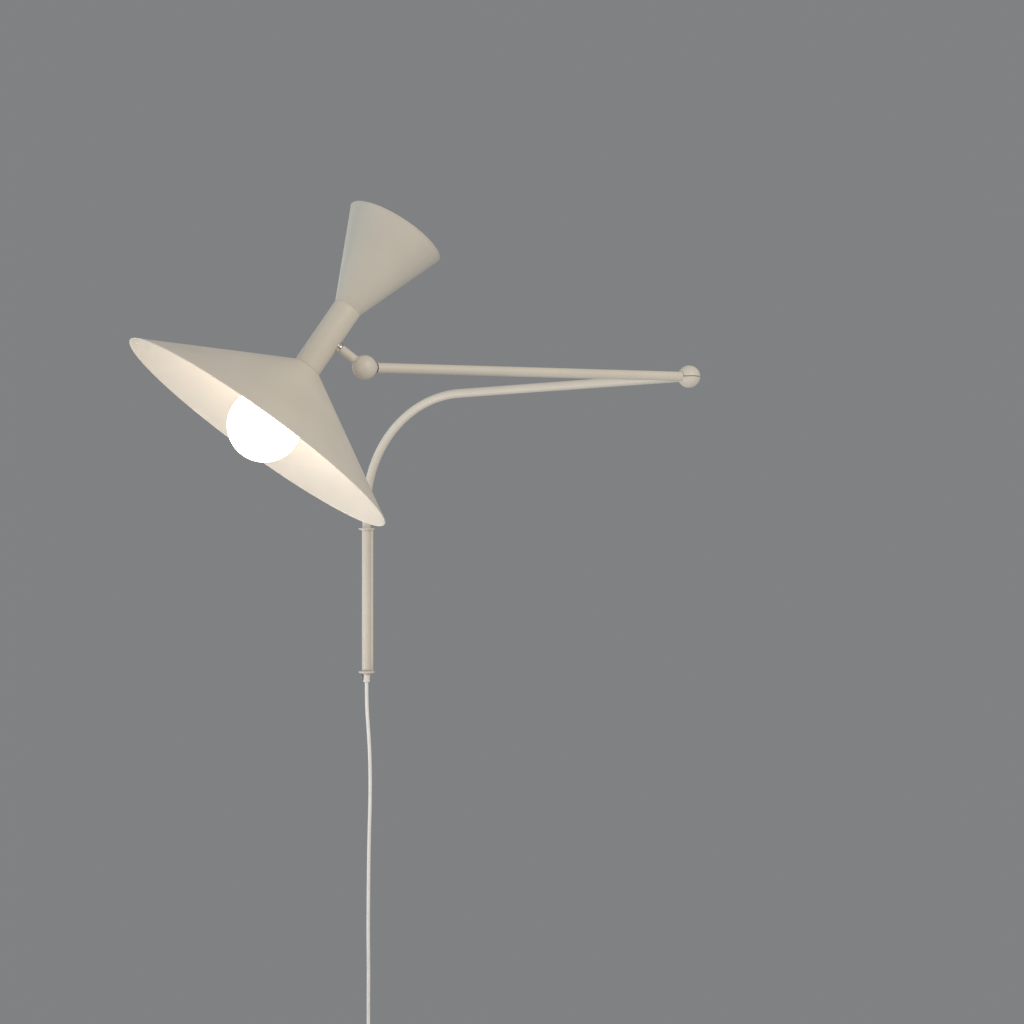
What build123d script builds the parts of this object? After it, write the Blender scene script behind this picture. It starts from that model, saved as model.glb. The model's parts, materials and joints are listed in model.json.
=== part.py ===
"""Adjustable two-light wall lamp: wall bracket, two swivelling arms, ball knuckle and tilting head.

Millimetres, +Z up. The origin is the middle of the wall plate's back face, on the wall plane y = 0.
The wall is on the +Y side, and the lamp reaches out towards -Y. The arms are drawn as they hang at rest.
"""
from math import cos, pi, radians, sin, sqrt, tan
import os

from build123d import *

# Clearances
RUN_CLEAR = 0.05  # radial, pins that turn
FIT_CLEAR = 0.02  # radial, pieces that are fixed in each other
FACE_GAP = 0.3  # between faces that turn against each other
CORD_CLEAR = 0.3  # radial, round a cord

# Wall bracket
STANDOFF = 24.0  # wall to arm tube axis
EAR_PITCH = 253.0  # between the middles of the ears
EAR_DIA = 28.0
EAR_THICK = 3.0
EAR_EDGE = 0.8  # rounding of the ear's outer edges
PLATE_WIDE = 20.0
PLATE_THICK = 3.0
HOLE_PITCH = 180.0
HOLE_DIA = 5.5
BUSH_WALL = 1.2
BUSH_FLANGE = 2.2  # how far a bush flange stands past the bush
BUSH_FLANGE_THICK = 1.0
WASHER_THICK = 1.0

# Arm tubes
TUBE_DIA = 15.0
TUBE_WALL = 1.5
SPIGOT_LONG = 22.0  # length of a plug inside a tube
CABLE_DIA = 5.0
ARM1_HEADING = -30.0  # plan direction from the wall
ARM1_RISE = 1.76
ARM1_REACH = 624.5  # plan length from swivel to elbow
ARM1_BEND = 199.0  # radius of the bend
ELBOW_HEIGHT = 373.5
ARM2_HEADING = -150.4
ARM2_DROP = 0.69
ARM2_LONG = 573.2  # elbow centre to knuckle centre

# Foot and gland
JOURNAL_DIA = 9.0
FOOT_COLLAR = 2.0
GLAND_DIA = 11.7
GLAND_LONG = 16.0
GLAND_CHAMFER = 1.2
GLAND_WAIST = 0.6  # depth of the groove round the gland
GLAND_WAIST_DROP = 9.9  # from the gland's top to the groove
GLAND_GRIP = 8.5  # how far the journal reaches into the gland
SCREW_DIA = 3.0
SCREW_HEAD_DIA = 9.0
SCREW_HEAD = 2.8
SCREW_SLOT = 0.9
SCREW_DROP = 6.8  # from the gland's top to the screw's axis

# Elbow
BALL_DIA = 36.0
BALL_SLIT = 1.0
PIN_DIA = 10.0
PIN_DEPTH = 13.0
PIN_GROOVE = 1.0  # depth of the groove that the grub screw rides in
GRUB_DIA = 4.0
GRUB_LONG = 7.0
GRUB_SOCKET = 2.0

# Knuckle
KNUCKLE_DIA = 36.0
COLLAR_END = 17.8  # from the ball's centre to the collar's face
SEAM_THICK = 1.4
SEAM_INSET = 0.6
STUB_RISE = 38.0
STUB_DIA = 13.6
STUB_FLARE = 17.0  # stub diameter where it leaves the ball
STUB_END = 43.0  # from the ball's centre
HEAD_OFFSET = 69.25  # from the ball's centre to the stem's axis
RING_DIA = 15.2
RING_EDGE = 0.8
NIPPLE_DIA = 8.0
NIPPLE_BORE = 5.0
NIPPLE_DEPTH = 22.0  # reach of the nipple into the stub
NUT_ACROSS = 13.0
NUT_THICK = 4.0

# Head
STEM_LEAN = 33.1  # stem's lean off upright, towards +X
STEM_BACK = 9.8  # stem's lean towards the wall
STEM_DIA = 42.0
STEM_WALL = 1.5
STEM_BELOW = 52.1  # stub axis to the stem's lower end
STEM_ABOVE = 54.1
SHADE_WALL = 1.0
SHADE_RIM_DIA = 448.0
SHADE_DEPTH = 121.2
SHADE_ROLL = 0.9  # radius of the rounded rim
SHADE_LEAN = 1.85  # wide shade's lean beyond the stem's
SHADE_BACK = 0.55
TOP_RIM_DIA = 153.8
TOP_DEPTH = 135.5
TOP_ROLL = 0.9
TOP_LEAN = -2.5  # small shade's lean beyond the stem's
TOP_BACK = 2.2
HOLDER_DIA = 34.0
HOLDER_BACK = 14.0  # part of the lampholder inside the stem
HOLDER_FRONT = 34.0
HOLDER_MOUTH = 28.0
BRIDGE_THICK = 2.0
BRIDGE_HOLE_DIA = 6.6
CLAMP_THICK = 5.0
CLAMP_WALL = 2.6
CAP_DIA = 26.5
CAP_LONG = 25.0
CAP_TIP_DIA = 13.2
CAP_CONE = 5.0  # length of the cap's cone
GLASS_WALL = 1.0
NECK_DIA = 31.0
GLOBE_DIA = 106.0
GLOBE_INSET = 15.5  # globe centre above the plane of the rim
GLOBE_SHOULDER = 22.0  # radius between neck and globe
PEAR_DIA = 60.0
PEAR_CENTRE = 80.0  # from the stem's end
PEAR_SHOULDER = 40.0
LEAD_DIA = 2.2

# Cord, inline switch, coil and plug
CORD_DIA = 6.2
CORD_X = 3.0  # where the cord hangs, right of the swivel axis
CORD_BENDS = [
    (0.0, -24.0, -186.0),
    (2.8, -23.7, -222.0),
    (6.2, -23.4, -284.0),
    (6.4, -23.6, -352.0),
    (4.0, -23.9, -430.0),
    (3.3, -24.2, -506.0),
    (2.6, -24.1, -584.0),
    (3.4, -23.9, -650.0),
    (3.0, -24.0, -708.0),
]
CORD_TURN = 0.45  # share of the shorter run that an arc takes up
SWITCH_TOP = -760.0
SWITCH_LONG = 66.0
SWITCH_WIDE = 15.0
SWITCH_DEEP = 15.0
SWITCH_NOSE = 9.6  # width of the switch at its ends
SWITCH_TAPER = 18.0
SWITCH_ROUND = 3.0
ROCKER_LONG = 17.0
ROCKER_WIDE = 6.4
ROCKER_DEEP = 5.0
ROCKER_PROUD = 1.4
ROCKER_TILT = 7.0
ROCKER_PIN_DIA = 1.6
ROCKER_PIN_LONG = 10.4
COIL_TURNS = 3  # turns in each of the two layers
COIL_SAMPLES = 36  # points a turn for the gap test
COIL_CLIMB = 0.25  # turns before and after the middle in which it climbs to the front layer
COIL_MID_DIA = 68.0
COIL_STEP = 6.9  # between neighbouring turns and between the layers
COIL_LEAD = 50.0  # straight cord above the coil
COIL_TAIL = 30.0  # straight cord below the coil, to the plug
TIE_WIDE = 8.0
TIE_THICK = 1.2
PLUG_WIDE = 35.0
PLUG_THICK = 13.5
PLUG_NECK = 9.5
PLUG_NECK_WIDE = 12.4
PLUG_NECK_ROUND = 4.2
PLUG_RELIEF = 22.0
PLUG_TAPER = 16.0
PLUG_FACE = 9.0
PLUG_ROUND = 3.5
PIN_PITCH = 18.6
PLUG_PIN_DIA = 4.0
PLUG_PIN_LONG = 19.0
PLUG_PIN_ROUND = 1.6

TUBE_R = TUBE_DIA / 2
BORE_R = TUBE_R - TUBE_WALL
BALL_R = BALL_DIA / 2
STEM_R = STEM_DIA / 2
STEM_BORE_R = STEM_R - STEM_WALL
HOLDER_R = HOLDER_DIA / 2
CORD_R = CORD_DIA / 2
JOURNAL_R = JOURNAL_DIA / 2


def heading(plan, rise):
    """Unit vector from a plan angle and an angle above the horizon, in degrees."""
    flat = cos(radians(rise))
    return Vector(cos(radians(plan)) * flat, sin(radians(plan)) * flat, sin(radians(rise)))


def leaning(lean, back):
    """Unit vector upwards, leaning towards +X and towards the wall by angles in degrees."""
    return heading(0, 90 - lean) * cos(radians(back)) + Vector(0, 1, 0) * sin(radians(back))


def head_plane(place, normal):
    """Plane across a piece of the head, its X axis on the knuckle's side."""
    side = Vector(0, 1, 0).cross(normal)
    return Plane(place, x_dir=side if side.X > 0 else -side, z_dir=normal)


# Places worked out from the sizes
SWIVEL = Vector(0, -STANDOFF, 0)
ARM1_PLAN = heading(ARM1_HEADING, 0)
ARM1_DIR = heading(ARM1_HEADING, ARM1_RISE)
ARM2_DIR = heading(ARM2_HEADING, -ARM2_DROP)
ELBOW = SWIVEL + ARM1_PLAN * ARM1_REACH + Vector(0, 0, ELBOW_HEIGHT)
BEND_CORNER = SWIVEL + Vector(0, 0, ELBOW_HEIGHT - ARM1_REACH * tan(radians(ARM1_RISE)))
KNUCKLE = ELBOW + ARM2_DIR * ARM2_LONG
STUB_DIR = heading(180, STUB_RISE)
HEAD = KNUCKLE + STUB_DIR * HEAD_OFFSET
HEAD_UP = leaning(STEM_LEAN, STEM_BACK)
LOWER_UP = leaning(STEM_LEAN + SHADE_LEAN, STEM_BACK + SHADE_BACK)
UPPER_UP = leaning(STEM_LEAN + TOP_LEAN, STEM_BACK + TOP_BACK)

LOW_EAR_TOP = -EAR_PITCH / 2 + EAR_THICK / 2
LOW_EAR_BASE = LOW_EAR_TOP - EAR_THICK
FLANGE_TOP = LOW_EAR_TOP + BUSH_FLANGE_THICK
WASHER_TOP = FLANGE_TOP + WASHER_THICK
FOOT = WASHER_TOP + RUN_CLEAR
TUBE_FOOT = FOOT + FOOT_COLLAR
GLAND_TOP = LOW_EAR_BASE - FACE_GAP
GLAND_BASE = GLAND_TOP - GLAND_LONG
CABLE_START = GLAND_TOP - GLAND_GRIP + FACE_GAP

SWIVEL_AXIS = Plane(SWIVEL, z_dir=(0, 0, 1))
ARM2_AXIS = Plane(KNUCKLE, z_dir=-ARM2_DIR)  # from the knuckle back to the elbow
STUB_AXIS = Plane(KNUCKLE, z_dir=STUB_DIR)
STEM_AXIS = head_plane(HEAD, HEAD_UP)
LOWER_END = head_plane(HEAD - HEAD_UP * STEM_BELOW, -LOWER_UP)
UPPER_END = head_plane(HEAD + HEAD_UP * STEM_ABOVE, UPPER_UP)


def rod(plane, radius, start, end):
    """Round bar along a plane's normal."""
    return plane * Pos(0, 0, (start + end) / 2) * Cylinder(radius, end - start)


def sleeve(plane, outer, inner, start, end):
    """Round tube along a plane's normal."""
    return rod(plane, outer, start, end) - rod(plane, inner, start, end)


def turned(*outline):
    """Solid turned about Z from corners given as radius and height."""
    return revolve(Plane.XZ * make_face(Polyline(*outline, close=True)), Axis.Z)


def pipe(path, radius):
    """Round bar swept along a path."""
    start = Plane(path @ 0, z_dir=path % 0)
    return sweep(start * Circle(radius), path=path)


def save(node, shape):
    """Write one node, as a compound where it is several solids."""
    solids = shape.solids()
    export_step(solids[0] if len(solids) == 1 else Compound(children=solids), f"parts/{node}.step")


# Wall bracket
def wall_plate():
    tall = EAR_PITCH + EAR_THICK
    plate = Pos(0, -PLATE_THICK / 2, 0) * Box(PLATE_WIDE, PLATE_THICK, tall)
    plate = chamfer(plate.faces().sort_by(Axis.Y)[0].edges().filter_by(Axis.Z), EAR_EDGE)
    for side in (-1, 1):
        hole = Plane((0, 0, side * HOLE_PITCH / 2), z_dir=(0, -1, 0))
        plate -= rod(hole, HOLE_DIA / 2, 0, PLATE_THICK)
    return plate


def ear(height, bore):
    """Round-nosed ear between the plate and the arm axis, its middle at a height."""
    neck = STANDOFF - PLATE_THICK
    outline = Circle(EAR_DIA / 2) + Pos(0, neck / 2) * Rectangle(PLATE_WIDE, neck)
    body = extrude(outline, EAR_THICK)
    rims = body.edges().filter_by(GeomType.CIRCLE)
    body = fillet(rims, EAR_EDGE) - Cylinder(bore, 3 * EAR_THICK)
    return Pos(SWIVEL) * Pos(0, 0, height - EAR_THICK / 2) * body


def bush(inner, ear_base, flange_base):
    """Flanged bush through an ear, its flange on one face of the ear."""
    tube = sleeve(SWIVEL_AXIS, inner + BUSH_WALL, inner, ear_base, ear_base + EAR_THICK)
    wide = inner + BUSH_WALL + BUSH_FLANGE
    return tube + sleeve(SWIVEL_AXIS, wide, inner, flange_base, flange_base + BUSH_FLANGE_THICK)


def make_bracket():
    up_base = EAR_PITCH / 2 - EAR_THICK / 2
    tube_bore = TUBE_R + RUN_CLEAR
    pin_bore = JOURNAL_R + RUN_CLEAR
    save("wall_plate", wall_plate())
    save("upper_ear", ear(EAR_PITCH / 2, tube_bore + BUSH_WALL + FIT_CLEAR))
    save("lower_ear", ear(-EAR_PITCH / 2, pin_bore + BUSH_WALL + FIT_CLEAR))
    save("upper_bush", bush(tube_bore, up_base, up_base - BUSH_FLANGE_THICK))
    save("lower_bush", bush(pin_bore, LOW_EAR_BASE, LOW_EAR_TOP))
    save("thrust_washer", sleeve(SWIVEL_AXIS, TUBE_R, pin_bore, FLANGE_TOP, WASHER_TOP))


# Arms
def other_half(ball_centre, side):
    """Room that a tube end leaves for the half ball on the other side of the slit."""
    room = 2 * BALL_DIA
    ball = Sphere(BALL_R + 2 * FACE_GAP)
    return Pos(ball_centre) * (ball & Pos(0, 0, side * (room - BALL_SLIT) / 2) * Box(room, room, room))


def elbow_half(side, tube_axis):
    """Half of the elbow ball (side is 1 above and -1 below) with its plug for the arm tube."""
    flat = BALL_SLIT / 2
    edge = BALL_SLIT  # height of the equator's chamfer
    rim = sqrt(BALL_R**2 - edge**2)
    lines = [
        Polyline((0, BALL_R), (0, flat), (rim - edge + flat, flat), (rim, edge)),
        ThreePointArc((rim, edge), (BALL_R * cos(pi / 4), BALL_R * sin(pi / 4)), (0, BALL_R)),
    ]
    dome = revolve(Plane.XZ * make_face(lines), Axis.Z)
    ball = Pos(ELBOW) * (dome if side > 0 else Rot(X=180) * dome)
    plug = rod(tube_axis, BORE_R - FIT_CLEAR, BALL_R / 2, BALL_R + SPIGOT_LONG)
    half = ball + (plug - other_half(ELBOW, -side))
    return half - rod(tube_axis, CABLE_DIA / 2 + CORD_CLEAR, BALL_R + FACE_GAP, BALL_R + 2 * SPIGOT_LONG)


def make_lower_arm():
    tube_axis = Plane(ELBOW, z_dir=-ARM1_DIR)
    path = FilletPolyline(SWIVEL + Vector(0, 0, TUBE_FOOT), BEND_CORNER, ELBOW, radius=ARM1_BEND)
    ball_room = Pos(ELBOW) * Sphere(BALL_R + FACE_GAP)
    save("lower_arm_tube", pipe(path, TUBE_R) - pipe(path, BORE_R) - ball_room)

    bore = CABLE_DIA / 2 + CORD_CLEAR
    journal = rod(SWIVEL_AXIS, JOURNAL_R, GLAND_TOP - GLAND_GRIP, FOOT)
    journal += rod(SWIVEL_AXIS, TUBE_R, FOOT, TUBE_FOOT)
    journal += rod(SWIVEL_AXIS, BORE_R - FIT_CLEAR, TUBE_FOOT, TUBE_FOOT + SPIGOT_LONG)
    save("foot_journal", journal - rod(SWIVEL_AXIS, bore, GLAND_BASE, TUBE_FOOT + 2 * SPIGOT_LONG))

    gland_r = GLAND_DIA / 2
    waist = GLAND_TOP - GLAND_WAIST_DROP
    gland = rod(SWIVEL_AXIS, gland_r, GLAND_BASE, GLAND_TOP)
    gland = chamfer(gland.edges().filter_by(GeomType.CIRCLE), GLAND_CHAMFER)
    gland -= Pos(SWIVEL + Vector(0, 0, waist)) * Torus(gland_r + GLAND_WAIST, 2 * GLAND_WAIST)
    gland -= rod(SWIVEL_AXIS, JOURNAL_R + FIT_CLEAR, GLAND_TOP - GLAND_GRIP, GLAND_TOP)
    gland -= rod(SWIVEL_AXIS, CORD_R + CORD_CLEAR, GLAND_BASE, GLAND_TOP)
    screw_axis = Plane(SWIVEL + Vector(0, 0, GLAND_TOP - SCREW_DROP), z_dir=(-1, 0, 0))
    gland -= rod(screw_axis, SCREW_DIA / 2 + FIT_CLEAR, 0, GLAND_DIA)
    save("cord_gland", gland)
    head_base = gland_r + FACE_GAP
    screw = rod(screw_axis, SCREW_DIA / 2, JOURNAL_R + RUN_CLEAR, head_base)
    screw += rod(screw_axis, SCREW_HEAD_DIA / 2, head_base, head_base + SCREW_HEAD)
    slot = Box(SCREW_HEAD_DIA * 2, SCREW_SLOT, SCREW_HEAD)
    screw -= screw_axis * Pos(0, 0, head_base + SCREW_HEAD) * slot
    save("gland_screw", screw)

    half = elbow_half(-1, tube_axis)
    pin_axis = Plane(ELBOW, z_dir=(0, 0, 1))
    save("lower_elbow_half", half - rod(pin_axis, PIN_DIA / 2 + FIT_CLEAR, -PIN_DEPTH, BALL_SLIT))
    pin = rod(pin_axis, PIN_DIA / 2, -PIN_DEPTH, PIN_DEPTH)
    groove = GRUB_DIA + 2 * FACE_GAP
    middle = PIN_DEPTH / 2
    pin -= sleeve(pin_axis, PIN_DIA, PIN_DIA / 2 - PIN_GROOVE, middle - groove / 2, middle + groove / 2)
    save("elbow_pin", pin)
    washer_r = BALL_R - 2 * BALL_SLIT
    thick = BALL_SLIT / 2 - RUN_CLEAR
    save("elbow_washer", sleeve(pin_axis, washer_r, PIN_DIA / 2 + FIT_CLEAR, -BALL_SLIT / 2, thick))

    cable_start = SWIVEL + Vector(0, 0, CABLE_START)
    cable_end = ELBOW - ARM1_DIR * (BALL_R + 2 * FACE_GAP)
    cable_path = FilletPolyline(cable_start, BEND_CORNER, cable_end, radius=ARM1_BEND)
    save("lower_cable", pipe(cable_path, CABLE_DIA / 2))


def make_upper_arm():
    tube_axis = Plane(ELBOW, z_dir=ARM2_DIR)
    tube_end = COLLAR_END + SEAM_THICK + FACE_GAP
    tube = sleeve(ARM2_AXIS, TUBE_R, BORE_R, tube_end, ARM2_LONG)
    save("upper_arm_tube", tube - Pos(ELBOW) * Sphere(BALL_R + FACE_GAP))

    pin_axis = Plane(ELBOW, z_dir=(0, 0, 1))
    half = elbow_half(1, tube_axis)
    half -= rod(pin_axis, PIN_DIA / 2 + RUN_CLEAR, -BALL_SLIT, PIN_DEPTH + FACE_GAP)
    grub_axis = Plane(ELBOW + Vector(0, 0, PIN_DEPTH / 2), z_dir=-heading(ARM2_HEADING, 0))
    save("upper_elbow_half", half - rod(grub_axis, GRUB_DIA / 2 + FIT_CLEAR, 0, BALL_R))
    tip = PIN_DIA / 2 - PIN_GROOVE + RUN_CLEAR
    save("elbow_screw", grub(grub_axis, tip))

    spigot = rod(ARM2_AXIS, BORE_R - FIT_CLEAR, tube_end, tube_end + SPIGOT_LONG)
    pin_tip = COLLAR_END - SPIGOT_LONG
    spigot += rod(ARM2_AXIS, JOURNAL_R, pin_tip, tube_end)
    half_groove = GRUB_DIA / 2 + FACE_GAP
    middle = knuckle_grub_place()
    groove = (middle - half_groove, middle + half_groove)
    spigot -= sleeve(ARM2_AXIS, JOURNAL_DIA, JOURNAL_R - PIN_GROOVE, *groove)
    bore = CABLE_DIA / 2 + CORD_CLEAR
    save("arm_spigot", spigot - rod(ARM2_AXIS, bore, tube_end, tube_end + 2 * SPIGOT_LONG))
    cable_end = ARM2_LONG - BALL_R - 2 * FACE_GAP
    save("upper_cable", rod(ARM2_AXIS, CABLE_DIA / 2, tube_end, cable_end))


def grub(axis, tip):
    """Socket grub screw along an axis, its tip at a distance from the axis's origin."""
    screw = rod(axis, GRUB_DIA / 2, tip, tip + GRUB_LONG)
    socket = extrude(RegularPolygon(GRUB_SOCKET / 2, 6), GRUB_SOCKET)
    return screw - axis * Pos(0, 0, tip + GRUB_LONG - GRUB_SOCKET) * socket


# Knuckle
def knuckle_grub_place():
    """Distance of the knuckle's grub screw from the ball's centre, towards the elbow."""
    return COLLAR_END - SPIGOT_LONG / 2 - GRUB_DIA


def make_knuckle():
    ball = ARM2_AXIS * Sphere(KNUCKLE_DIA / 2)
    ball += rod(ARM2_AXIS, TUBE_R, 0, COLLAR_END)
    stub_root = sqrt((KNUCKLE_DIA / 2) ** 2 - (STUB_FLARE / 2) ** 2) - FACE_GAP
    ball += rod(STUB_AXIS, STUB_DIA / 2, 0, STUB_END)
    flare = Cone(STUB_FLARE / 2, STUB_DIA / 2, STUB_FLARE - STUB_DIA)
    ball += STUB_AXIS * Pos(0, 0, stub_root + (STUB_FLARE - STUB_DIA) / 2) * flare
    ball -= rod(ARM2_AXIS, JOURNAL_R + RUN_CLEAR, COLLAR_END - SPIGOT_LONG - FACE_GAP, KNUCKLE_DIA)
    ball -= rod(STUB_AXIS, NIPPLE_DIA / 2 + RUN_CLEAR, STUB_END - NIPPLE_DEPTH - FACE_GAP, STUB_END)
    place = KNUCKLE - ARM2_DIR * knuckle_grub_place()
    under = ARM2_DIR.cross(ARM2_DIR.cross(Vector(0, 0, 1))).normalized()
    grub_axis = Plane(place, z_dir=under)
    ball -= rod(grub_axis, GRUB_DIA / 2 + FIT_CLEAR, 0, KNUCKLE_DIA)
    save("head_ball", ball)
    save("knuckle_screw", grub(grub_axis, JOURNAL_R - PIN_GROOVE + RUN_CLEAR))
    seam = (COLLAR_END, COLLAR_END + SEAM_THICK)
    save("knuckle_washer", sleeve(ARM2_AXIS, TUBE_R - SEAM_INSET, JOURNAL_R + RUN_CLEAR, *seam))


# Head
def shade(depth, rim_dia, roll):
    """Spun shade with a flat neck plate at height 0, opening upwards, its rim rounded."""
    wide = rim_dia / 2 - roll
    slant = sqrt((wide - STEM_R) ** 2 + depth**2)
    lean = SHADE_WALL * (wide - STEM_R) / slant  # height of the wall's offset
    draw = SHADE_WALL * depth / slant  # its drop in radius
    inner_r = STEM_R - draw + (SHADE_WALL - lean) * (wide - STEM_R) / depth
    hole = HOLDER_R + FIT_CLEAR
    wall = make_face(
        Polyline(
            (hole, 0),
            (STEM_R, 0),
            (wide, depth),
            (wide - draw, depth + lean),
            (inner_r, SHADE_WALL),
            (hole, SHADE_WALL),
            close=True,
        )
    )
    bead = Pos(wide - draw / 2, depth + lean / 2) * Circle(roll)
    return revolve(Plane.XZ * (wall + bead), Axis.Z)


def bulb_outline(centre, radius, shoulder, neck, base):
    """Half outline of a bulb: neck, shoulder arc and round end, from the axis and back to it."""
    reach = radius + shoulder
    drop = sqrt(reach**2 - (neck + shoulder) ** 2)
    bend = centre - drop
    touch = (radius * (neck + shoulder) / reach, centre - radius * drop / reach)
    chord = sqrt((touch[0] - neck - shoulder) ** 2 + (touch[1] - bend) ** 2)
    middle = Vector((neck + touch[0]) / 2 - neck - shoulder, (bend + touch[1]) / 2 - bend)
    middle = middle.normalized() * chord
    lines = [
        Line((0, base), (neck, base)),
        Line((neck, base), (neck, bend)),
        ThreePointArc((neck, bend), (neck + shoulder + middle.X, bend + middle.Y), touch),
        ThreePointArc(touch, (radius, centre), (0, centre + radius)),
        Line((0, centre + radius), (0, base)),
    ]
    return revolve(Plane.XZ * make_face(lines), Axis.Z)


def bulb(end, names, centre, radius, shoulder):
    """Glass and screw cap of a bulb in the lampholder at one end of the stem."""
    rim = HOLDER_FRONT + FACE_GAP
    seat = rim - CAP_LONG
    neck = NECK_DIA / 2
    glass = bulb_outline(centre, radius, shoulder, neck, rim)
    wall = GLASS_WALL
    hollow = bulb_outline(centre, radius - wall, shoulder + wall, neck - wall, rim - wall)
    save(names[0], end * (glass - hollow))
    cap_r = CAP_DIA / 2
    cap = turned((0, seat), (CAP_TIP_DIA / 2, seat), (cap_r, seat + CAP_CONE), (cap_r, rim), (0, rim))
    save(names[1], end * cap)


def lampholder(end, side):
    """Bridge disc, lampholder and shade clamp ring at one end of the stem."""
    back = -HOLDER_BACK
    bridge = sleeve(end, STEM_R, BRIDGE_HOLE_DIA / 2, back - BRIDGE_THICK, back)
    save(f"{side}_bridge", bridge & rod(STEM_AXIS, STEM_BORE_R - FIT_CLEAR, -STEM_BELOW, STEM_ABOVE))
    cup = rod(end, HOLDER_R, back, HOLDER_FRONT)
    cup = fillet(cup.edges().filter_by(GeomType.CIRCLE), SHADE_WALL)
    cup -= rod(end, HOLDER_MOUTH / 2, HOLDER_FRONT - CAP_LONG, HOLDER_FRONT)
    save(f"{side}_lampholder", cup)
    clamp_r = HOLDER_R + FIT_CLEAR
    ring = sleeve(end, clamp_r + CLAMP_WALL, clamp_r, SHADE_WALL, SHADE_WALL + CLAMP_THICK)
    save(f"{side}_shade_ring", ring)


def make_head():
    nipple_start = STUB_END - NIPPLE_DEPTH
    wall_in = HEAD_OFFSET - STEM_BORE_R
    nut_end = wall_in + NUT_THICK + FACE_GAP
    stem = sleeve(STEM_AXIS, STEM_R, STEM_BORE_R, -STEM_BELOW - STEM_R, STEM_ABOVE + STEM_R)
    for end in (LOWER_END, UPPER_END):
        stem -= end * Pos(0, 0, STEM_DIA) * Box(2 * STEM_DIA, 2 * STEM_DIA, 2 * STEM_DIA)
    stem -= rod(STUB_AXIS, NIPPLE_DIA / 2 + FIT_CLEAR, STUB_END, HEAD_OFFSET)
    save("stem_tube", stem)
    stem_room = rod(STEM_AXIS, STEM_R, -STEM_BELOW, STEM_ABOVE)
    ring_start = STUB_END + FACE_GAP
    ring = rod(STUB_AXIS, RING_DIA / 2, ring_start, HEAD_OFFSET)
    ring = chamfer(ring.faces().sort_by(Axis(KNUCKLE, STUB_DIR))[0].edges(), RING_EDGE)
    ring -= rod(STUB_AXIS, NIPPLE_DIA / 2 + FIT_CLEAR, ring_start, HEAD_OFFSET)
    save("swivel_ring", ring - stem_room)
    save("stem_nipple", sleeve(STUB_AXIS, NIPPLE_DIA / 2, NIPPLE_BORE / 2, nipple_start, nut_end))
    blank = extrude(RegularPolygon(NUT_ACROSS / 2, 6), 2 * NUT_THICK)
    blank = STUB_AXIS * Pos(0, 0, wall_in - NUT_THICK) * blank
    nut = blank & rod(STEM_AXIS, STEM_BORE_R - FIT_CLEAR, -STEM_BELOW, STEM_ABOVE)
    save("nipple_nut", nut - rod(STUB_AXIS, NIPPLE_DIA / 2 + FIT_CLEAR, nipple_start, HEAD_OFFSET))

    save("main_shade", LOWER_END * shade(SHADE_DEPTH, SHADE_RIM_DIA, SHADE_ROLL))
    save("upper_shade", UPPER_END * shade(TOP_DEPTH, TOP_RIM_DIA, TOP_ROLL))
    lampholder(LOWER_END, "lower")
    lampholder(UPPER_END, "upper")
    globe = ("globe_glass", "globe_cap")
    bulb(LOWER_END, globe, SHADE_DEPTH - GLOBE_INSET, GLOBE_DIA / 2, GLOBE_SHOULDER)
    bulb(UPPER_END, ("upper_glass", "upper_cap"), PEAR_CENTRE, PEAR_DIA / 2, PEAR_SHOULDER)

    centre = STEM_BORE_R - NUT_THICK - 3 * FACE_GAP  # in front of the nipple, from the stem's axis
    leads = []
    for side, length in ((-1, STEM_BELOW), (1, STEM_ABOVE)):
        end = side * (length - HOLDER_BACK - FACE_GAP)
        turn = STEM_AXIS * Pos(0, side * (LEAD_DIA / 2 + FIT_CLEAR), 0)
        path = FilletPolyline((centre, 0, 0), (0, 0, 0), (0, 0, end), radius=STEM_WALL + LEAD_DIA)
        leads.append(turn * pipe(path, LEAD_DIA / 2))
    save("stem_leads", Compound(children=leads))


# Cord and what is on it
def cord_path(points):
    """Straight runs joined by arcs as large as the runs allow."""
    points = [Vector(*p) for p in points]
    radii = []
    for before, corner, after in zip(points, points[1:], points[2:]):
        turn = (corner - before).get_angle(after - corner)
        shorter = min((corner - before).length, (after - corner).length)
        radii.append(CORD_TURN * shorter / tan(radians(turn) / 2))
    print("cord radii", [round(r) for r in radii])
    return FilletPolyline(*points, radius=radii)


def biarc(start, start_dir, end, end_dir):
    """Two tangent arcs from one point and direction to another."""
    chord = end - start
    both = start_dir + end_dir
    spare = 2 * (1 - start_dir.dot(end_dir))
    along = chord.dot(both)
    reach = (sqrt(along**2 + spare * chord.dot(chord)) - along) / spare
    middle = (start + end + (start_dir - end_dir) * reach) / 2
    first = TangentArc(start, middle, tangent=start_dir)
    return [first, TangentArc(middle, end, tangent=first % 1)]


COIL_R = COIL_MID_DIA / 2 + COIL_STEP * COIL_TURNS / 2  # outer end of the spiral
COIL_TOP = SWITCH_TOP - SWITCH_LONG - COIL_LEAD
COIL_CENTRE = Vector(CORD_X - COIL_R, -STANDOFF, COIL_TOP)


def coil_point(turns):
    """Point of the coil after a number of turns: in on the back layer, out on the front one."""
    from_middle = abs(turns - COIL_TURNS)
    if from_middle < COIL_CLIMB:
        from_middle = (from_middle**2 / COIL_CLIMB + COIL_CLIMB) / 2
    radius = COIL_R - COIL_STEP * (COIL_TURNS - from_middle)
    climb = min(max((turns - COIL_TURNS) / COIL_CLIMB + 1, 0), 2) / 2
    front = COIL_STEP * climb * climb * (3 - 2 * climb)
    angle = 2 * pi * turns
    return COIL_CENTRE + Vector(radius * cos(angle), -front, -radius * sin(angle))


def coil_direction(turns):
    step = 1e-4
    return (coil_point(turns + step) - coil_point(turns - step)).normalized()


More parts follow.
